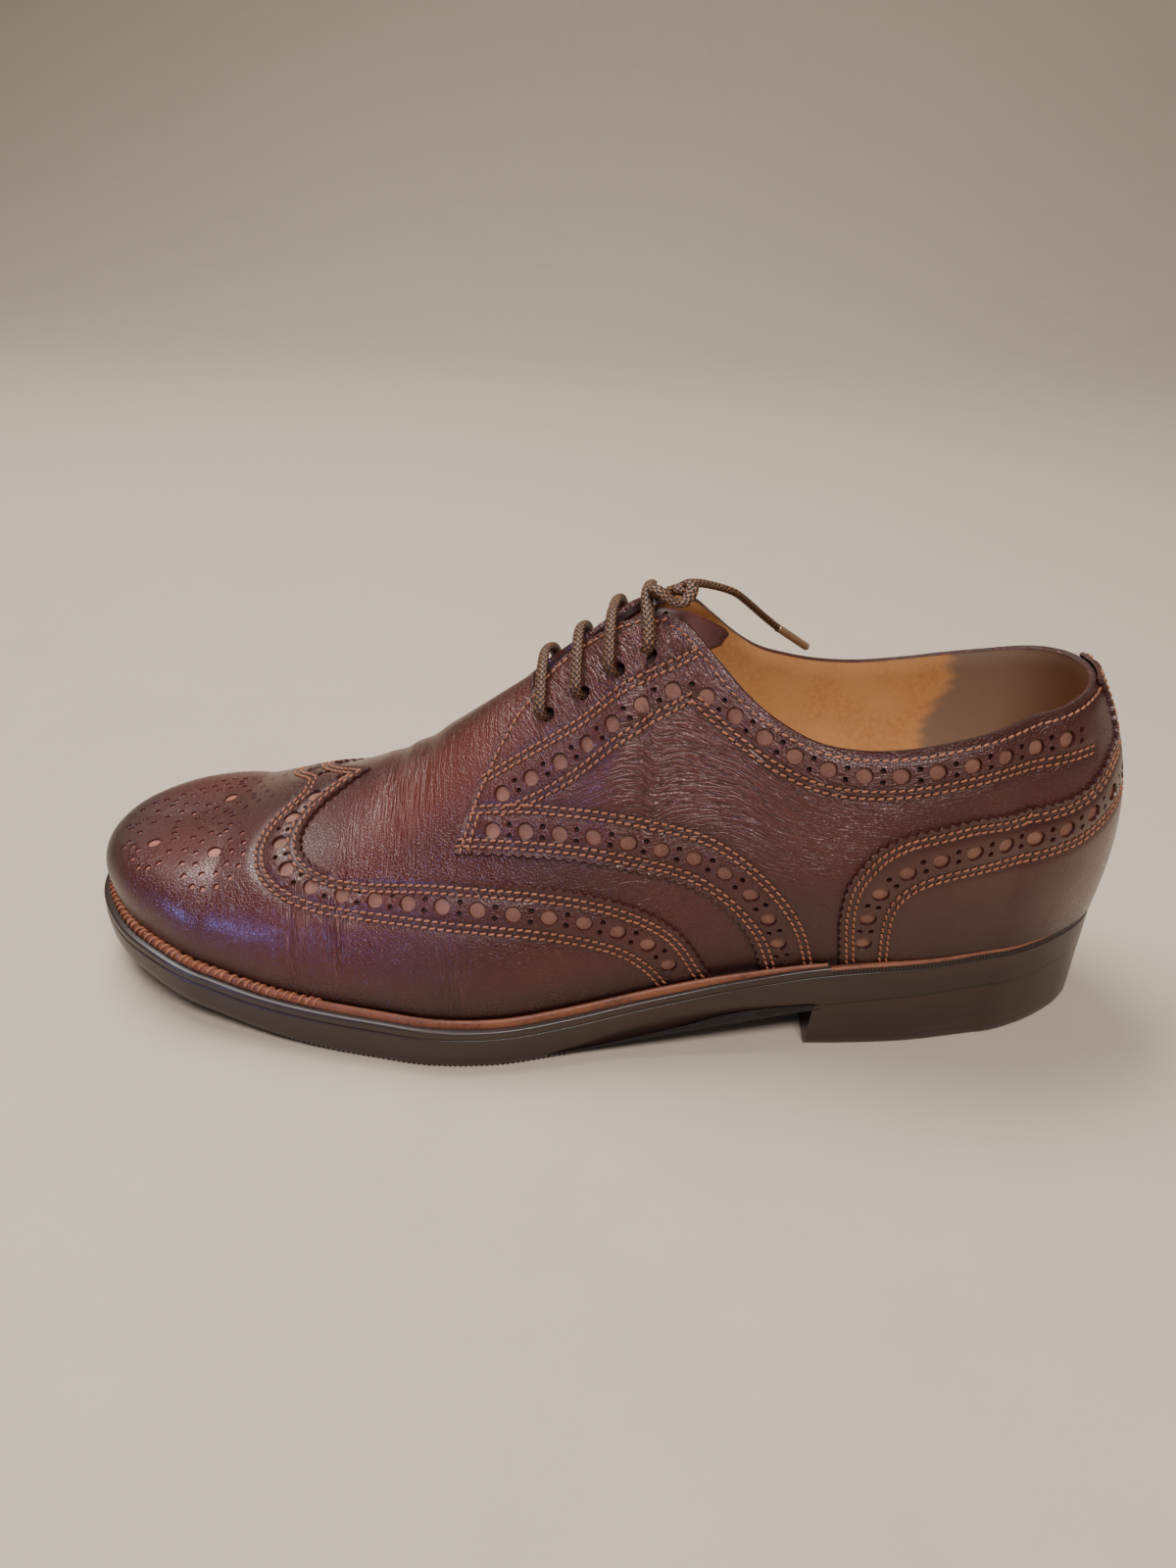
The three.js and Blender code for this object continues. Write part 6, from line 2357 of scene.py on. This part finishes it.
@dataclass(frozen=True)
class LeatherFinish:
    """A burgundy leather with a darker burnish, painted sheen on its wrinkles and painted shade in their
    furrows.
    """

    name: str
    base: tuple[float, float, float] = (0.060, 0.0105, 0.0085)
    red: tuple[float, float, float] = (0.125, 0.012, 0.006)
    dark: tuple[float, float, float] = (0.016, 0.0055, 0.0045)
    # pale pink, the painted sheen on wrinkles and fine creases
    painted_sheen: tuple[float, float, float] = (0.25, 0.08, 0.066)
    edge: tuple[float, float, float] = (0.022, 0.009, 0.008)
    shine: tuple[float, float, float] = (1.0, 0.80, 0.78)
    roughness: float = 0.33
    smooth: float = 0.0
    grain: float = 0.35

    def make(self, grain: bpy.types.NodeTree, wrinkles: bpy.types.NodeTree) -> bpy.types.Material:
        """Makes the material.

        Args:
            grain: The leather grain group.
            wrinkles: The wrinkle group.

        Returns:
            The material.
        """
        material, tree = new_material(self.name)
        place = tree.node("ShaderNodeTexCoord")
        pores = tree.node("ShaderNodeGroup", {"Place": place.outputs["Object"], "Scale": 1050.0,
                                              "Smooth": self.smooth}, node_tree=grain)
        rough_noise = tree.node("ShaderNodeTexNoise", {"Vector": place.outputs["Object"], "Scale": 38.0,
                                                       "Detail": 5.0, "Roughness": 0.62})
        broad = tree.ramp(rough_noise.outputs[0], 0.38, 0.66)
        half_broad = tree.node("ShaderNodeMath", {0: broad, 1: 0.5, 2: 0.5}, operation="MULTIPLY_ADD")
        red = tree.math("MULTIPLY", tree.mask("red"), half_broad.outputs[0], True)
        side, facing, flex = (
            tree.node("ShaderNodeGroup", {"Pattern": place.outputs["UV"], "Turn": turn, "Pitch": pitch,
                                          "Stretch": stretch}, node_tree=wrinkles)
            for turn, pitch, stretch in ((0.10, 74.0, 0.15), (1.15, 95.0, 0.15), (1.50, 88.0, 0.06)))
        body = tree.blend(red, color(self.base), color(self.red))
        body = tree.blend(tree.math("MULTIPLY", broad, 0.25), body, color(self.dark))
        body = tree.blend(tree.math("MULTIPLY", tree.mask("dark"), 0.8), body, color(self.dark))
        # Painted sheen: the wrinkled patches of the quarter and the facing are lightened towards pale pink.
        crease_sheen = tree.math("ADD", tree.mask("wrinkle"), tree.mask("facing"), True)
        body = tree.blend(tree.math("MULTIPLY", crease_sheen, 0.22), body, color(self.painted_sheen))
        # Painted shade: the furrows of those wrinkles are darkened.
        furrow_shade = tree.math("ADD", tree.math("MULTIPLY", side.outputs["Furrow"], tree.mask("wrinkle")),
                            tree.math("MULTIPLY", facing.outputs["Furrow"], tree.mask("facing")), True)
        body = tree.blend(tree.math("MULTIPLY", furrow_shade, 0.7), body, color(self.dark))
        # Painted sheen: the fine crease lines of the flex patches are lightened with the same pale pink.
        lines = tree.math("MULTIPLY", flex.outputs["Furrow"], tree.mask("flex"))
        body = tree.blend(tree.math("MULTIPLY", lines, 0.4), body, color(self.painted_sheen))
        body = tree.blend(tree.math("MULTIPLY", pores.outputs["Crevice"], 0.35), body, color(self.dark))
        body = tree.blend(tree.math("MULTIPLY", tree.mask("seam"), 0.45), body, color(self.dark))
        cut = tree.ramp(tree.mask("edge"), 0.72, 0.95)
        body = tree.blend(cut, body, color(self.edge))
        height = tree.math("MULTIPLY", pores.outputs["Height"], self.grain)
        for group, mask in ((side, "wrinkle"), (facing, "facing"), (flex, "flex")):
            fold = tree.math("MULTIPLY", group.outputs["Height"], tree.mask(mask))
            height = tree.math("ADD", height, fold)
        bump = tree.node("ShaderNodeBump", {"Height": height, "Strength": 0.8, "Distance": 0.0004})
        uneven = tree.math("MULTIPLY", tree.math("SUBTRACT", broad, 0.5), 0.14)
        rough = tree.math("ADD", self.roughness, uneven)
        rough = tree.math("ADD", rough, tree.math("MULTIPLY", pores.outputs["Crevice"], 0.12))
        shader = tree.node("ShaderNodeBsdfPrincipled", {
            "Base Color": body, "Roughness": rough, "Normal": bump.outputs[0], "Specular IOR Level": 0.55,
            "Specular Tint": color(self.shine), "Coat Weight": 0.3, "Coat Roughness": 0.2,
            "Coat Normal": bump.outputs[0]})
        tree.node("ShaderNodeOutputMaterial", {"Surface": shader.outputs[0]})
        return material


@dataclass(frozen=True)
class PlainFinish:
    """A finish with one colour, mottled, with a fine noise for its surface."""

    name: str
    base: tuple[float, float, float]
    spot: tuple[float, float, float]
    roughness: float = 0.5
    scale: float = 300.0
    bump: float = 0.2
    depth: float = 0.0002
    coat: float = 0.0
    gloss: float = 0.5
    stretch: tuple[float, float, float] = (1.0, 1.0, 1.0)
    mask: str = ""
    masked: tuple[float, float, float] = (0.1, 0.1, 0.1)

    def make(self) -> bpy.types.Material:
        """Makes the material.

        Returns:
            The material.
        """
        material, tree = new_material(self.name)
        place = tree.node("ShaderNodeTexCoord")
        laid = tree.node("ShaderNodeVectorMath", {0: place.outputs["Object"], 1: self.stretch},
                         operation="MULTIPLY")
        fine = tree.node("ShaderNodeTexNoise", {"Vector": laid.outputs[0], "Scale": self.scale,
                                                "Detail": 5.0, "Roughness": 0.65})
        broad = tree.node("ShaderNodeTexNoise", {"Vector": place.outputs["Object"],
                                                 "Scale": self.scale * 0.09, "Detail": 3.0})
        share = tree.math("MULTIPLY", tree.ramp(broad.outputs[0], 0.35, 0.65),
                          tree.ramp(fine.outputs[0], 0.3, 0.7))
        body = tree.blend(share, color(self.base), color(self.spot))
        if self.mask:
            body = tree.blend(tree.mask(self.mask), body, color(self.masked))
        bump = tree.node("ShaderNodeBump", {"Height": fine.outputs[0], "Strength": self.bump,
                                            "Distance": self.depth})
        shader = tree.node("ShaderNodeBsdfPrincipled", {
            "Base Color": body, "Roughness": self.roughness, "Normal": bump.outputs[0],
            "Specular IOR Level": self.gloss, "Coat Weight": self.coat, "Coat Roughness": 0.25})
        tree.node("ShaderNodeOutputMaterial", {"Surface": shader.outputs[0]})
        return material


@dataclass(frozen=True)
class BraidFinish:
    """A flat waxed braid, dark brown with tan flecks."""

    name: str = "braided lace"
    base: tuple[float, float, float] = (0.038, 0.015, 0.008)
    fleck: tuple[float, float, float] = (0.33, 0.155, 0.07)
    strands: float = 6.0
    pitch: float = 6.0

    def make(self) -> bpy.types.Material:
        """Makes the braid from length along the lace and share round it.

        Returns:
            The material.
        """
        material, tree = new_material(self.name)
        uv = tree.node("ShaderNodeTexCoord").outputs["UV"]
        split = tree.node("ShaderNodeSeparateXYZ", {0: uv})
        along = tree.math("MULTIPLY", split.outputs[0], self.pitch)
        around = tree.math("MULTIPLY", split.outputs[1], self.strands)
        waves = []
        for sign in (1.0, -1.0):
            slanted = tree.math("ADD", along, tree.math("MULTIPLY", around, sign))
            phase = tree.math("MULTIPLY", slanted, math.pi)
            waves.append(tree.math("ABSOLUTE", tree.math("SINE", phase)))
        weave = tree.math("MAXIMUM", waves[0], waves[1])
        split_share = tree.math("MULTIPLY", waves[0], waves[1])
        noise = tree.node("ShaderNodeTexNoise", {"Vector": uv, "Scale": 24.0, "Detail": 3.0})
        fleck = tree.math("MULTIPLY", tree.ramp(split_share, 0.30, 0.75),
                          tree.ramp(noise.outputs[0], 0.40, 0.58))
        body = tree.blend(fleck, color(self.base), color(self.fleck))
        bump = tree.node("ShaderNodeBump", {"Height": weave, "Strength": 0.8, "Distance": 0.0004})
        shader = tree.node("ShaderNodeBsdfPrincipled", {"Base Color": body, "Roughness": 0.5,
                                                        "Normal": bump.outputs[0]})
        tree.node("ShaderNodeOutputMaterial", {"Surface": shader.outputs[0]})
        return material


def make_finishes() -> Finishes:
    """Makes every material of the shoe.

    Returns:
        The materials.
    """
    grain, wrinkles = grain_group(), wrinkle_group()
    return Finishes(
        leather=LeatherFinish("burgundy leather").make(grain, wrinkles),
        counter=LeatherFinish("counter leather", base=(0.050, 0.0115, 0.0085), red=(0.088, 0.0125, 0.007),
                              smooth=0.55, roughness=0.32).make(grain, wrinkles),
        bottoms=(PlainFinish("hole backing", (0.235, 0.105, 0.072), (0.125, 0.052, 0.036), 0.6, 1500.0,
                             0.6).make(),
                 PlainFinish("toe hole backing", (0.36, 0.13, 0.095), (0.24, 0.075, 0.055), 0.5, 1500.0,
                             0.5).make(),
                 # The third bottom is near-black painted shade for the small holes and the eyelets.
                 PlainFinish("painted hole shade", (0.03, 0.012, 0.01), (0.02, 0.008, 0.008), 0.8).make()),
        rolled=PlainFinish("rolled edge", (0.022, 0.007, 0.006), (0.045, 0.012, 0.010), 0.36, 900.0,
                           0.2).make(),
        lining=PlainFinish("tan lining", (0.66, 0.34, 0.135), (0.55, 0.26, 0.095), 0.55, 700.0, 0.25,
                           mask="grip", masked=(0.27, 0.19, 0.135)).make(),
        sock=PlainFinish("tan sock", (0.60, 0.33, 0.15), (0.50, 0.25, 0.105), 0.55, 500.0, 0.2).make(),
        tongue=PlainFinish("tongue leather", (0.055, 0.015, 0.014), (0.09, 0.02, 0.016), 0.42, 1100.0,
                           0.35).make(),
        thread=PlainFinish("orange thread", (0.345, 0.128, 0.066), (0.18, 0.052, 0.026), 0.55, 2600.0,
                           0.5).make(),
        # Near-black painted shade for the needle holes, the wheel marks and the grooves of the tread.
        needle=PlainFinish("needle hole", (0.012, 0.006, 0.005), (0.006, 0.004, 0.004), 0.9).make(),
        welt=PlainFinish("welt leather", (0.245, 0.08, 0.036), (0.10, 0.03, 0.015), 0.48, 700.0,
                         0.5).make(),
        welt_thread=PlainFinish("welt thread", (0.40, 0.145, 0.07), (0.20, 0.06, 0.03), 0.55, 2200.0,
                                0.5).make(),
        edge=PlainFinish("sole edge", (0.028, 0.017, 0.014), (0.046, 0.021, 0.016), 0.33, 130.0, 0.25,
                         stretch=(0.12, 0.12, 3.0)).make(),
        tread=PlainFinish("top lift rubber", (0.02, 0.015, 0.014), (0.035, 0.025, 0.022), 0.8, 500.0, 0.3,
                          gloss=0.15).make(),
        lace=BraidFinish().make(),
        tip=PlainFinish("lace tip", (0.26, 0.15, 0.075), (0.20, 0.11, 0.055), 0.25, 300.0, 0.05,
                        coat=0.6).make())


@dataclass
class Studio:
    """The camera, the lights and the floor."""

    eye: tuple[float, float, float] = (0.006386, -0.29577, 0.23874)
    yaw: float = -1.7
    pitch: float = 30.55
    roll: float = 1.96
    lens: float = 26.523
    sensor: float = 36.0
    floor: tuple[float, float, float] = (0.55, 0.465, 0.37)
    floor_reach: float = 2.0
    floor_bend: float = 1.0

    def camera(self) -> bpy.types.Object:
        """Sets the camera where the photograph was taken from.

        Returns:
            The camera.
        """
        yaw, pitch, roll = (math.radians(value) for value in (self.yaw, self.pitch, self.roll))
        forward = Vector((math.sin(yaw) * math.cos(pitch), math.cos(yaw) * math.cos(pitch),
                          -math.sin(pitch)))
        right = Vector((math.cos(yaw), -math.sin(yaw), 0.0))
        up = right.cross(forward)
        right, up = (right * math.cos(roll) + up * math.sin(roll),
                     up * math.cos(roll) - right * math.sin(roll))
        data = bpy.data.cameras.new("camera")
        data.lens = self.lens
        data.sensor_width = self.sensor
        data.clip_start = 0.01
        data.clip_end = 20.0
        camera = bpy.data.objects.new("camera", data)
        turn = Matrix((right, up, -forward)).transposed().to_4x4()
        camera.matrix_world = Matrix.Translation(Vector(self.eye)) @ turn
        bpy.context.scene.collection.objects.link(camera)
        bpy.context.scene.camera = camera
        return camera

    def light(self, name: str, place: tuple[float, float, float], target: tuple[float, float, float],
              size: tuple[float, float], power: float, tint: tuple[float, float, float] = (1, 1, 1),
              upright: tuple[float, float, float] = (0, 0, 1), spread: float = 180.0,
              gloss_only: bool = False) -> None:
        """Hangs a soft rectangular light.

        Args:
            name: Its name.
            place: Where it hangs.
            target: What it faces.
            size: Its width and height.
            power: Its power in watts.
            tint: Its colour.
            upright: Direction that its height leans in.
            spread: How wide it shines, in degrees.
            gloss_only: Whether it only shows as a reflection.
        """
        data = bpy.data.lights.new(name, "AREA")
        data.shape = "RECTANGLE"
        data.size, data.size_y = size
        data.energy = power
        data.color = tint
        light = bpy.data.objects.new(name, data)
        data.spread = math.radians(spread)
        back = (Vector(place) - Vector(target)).normalized()
        side = Vector(upright).cross(back).normalized()
        turn = Matrix((side, back.cross(side), back)).transposed().to_4x4()
        light.matrix_world = Matrix.Translation(Vector(place)) @ turn
        light.visible_diffuse = not gloss_only
        bpy.context.scene.collection.objects.link(light)

    def build(self) -> None:
        """Sets the floor, the lights and the faint light all round."""
        bend = [(self.floor_reach - self.floor_bend + self.floor_bend * math.sin(angle),
                 self.floor_bend * (1 - math.cos(angle))) for angle in np.linspace(0, math.pi / 2, 17)]
        line = [(-self.floor_reach, 0.0), *bend, (self.floor_reach, self.floor_reach)]
        points = [(x, y, z) for y, z in line for x in (-2 * self.floor_reach, 2 * self.floor_reach)]
        mesh = bpy.data.meshes.new("floor")
        faces = [(k, k + 1, k + 3, k + 2) for k in range(0, 2 * len(line) - 2, 2)]
        mesh.from_pydata(points, [], faces)
        mesh.shade_smooth()
        floor = bpy.data.objects.new("floor", mesh)
        bpy.context.scene.collection.objects.link(floor)
        mesh.materials.append(PlainFinish("floor", self.floor, tuple(0.96 * c for c in self.floor), 0.7,
                                          30.0, 0.05).make())
        aim = (0.0, 0.0, 0.05)
        self.light("window", (-0.40, 0.40, 1.30), aim, (0.9, 0.45), 22.0, (1.0, 0.96, 0.93))
        self.light("front", (0.20, -0.85, 1.30), aim, (0.6, 0.35), 19.0, (1.0, 0.94, 0.91))
        self.light("toe", (-0.80, -0.68, 0.31), (-0.115, -0.04, 0.033), (0.05, 0.42), 0.16,
                   (0.20, 0.28, 1.0), (-0.2, 0.4, 0.36), 24.0, True)
        world = bpy.data.worlds.new("world")
        world.use_nodes = True
        bpy.context.scene.world = world
        background = world.node_tree.nodes["Background"]
        background.inputs["Color"].default_value = (0.90, 0.88, 0.85, 1)
        background.inputs["Strength"].default_value = 0.20


SHIFT = (-154.444, 4.3295)
CREASES = (
    Crease(84, -92, -34, -0.10, 1.5, 0.30), Crease(80.5, -90, -40, -0.08, 1.2, 0.22),
    Crease(70, -98, -62, -0.02, 1.6, 0.28), Crease(112, -98, -70, 0.16, 2.2, 0.25),
    Crease(94, -44, 44, 0.0, 2.4, 0.35), Crease(104, -40, 40, 0.0, 2.6, 0.35),
    Crease(84, 34, 92, 0.10, 1.5, 0.30), Crease(70, 62, 98, 0.02, 1.6, 0.28))


def main() -> None:
    """Builds the shoe on its frame, piece by piece."""
    logging.basicConfig(level=logging.INFO, format="%(message)s")
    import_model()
    studio = Studio()
    studio.camera()
    last = Last(shift=SHIFT, creases=CREASES)
    pattern = Pattern()
    finishes = make_finishes()
    lacing = Lacing(last, pattern.eyelets, finishes)
    lacing.build()
    LOG.info("laces built")
    upper = Upper(last, pattern, finishes)
    for piece in (upper.vamp(), upper.wing_cap(), upper.quarter(OUTER), upper.quarter(INNER),
                  upper.counter(), upper.lining(), upper.binding()):
        LOG.info("%s: %d faces", piece.name, len(piece.data.polygons))
    upper.sew(Sewing(last, finishes.thread, finishes.needle))
    LOG.info("seams sewn")
    Tongue(last, finishes).build()
    Bottom(last, finishes).build()
    studio.build()


if __name__ == "__main__":
    main()
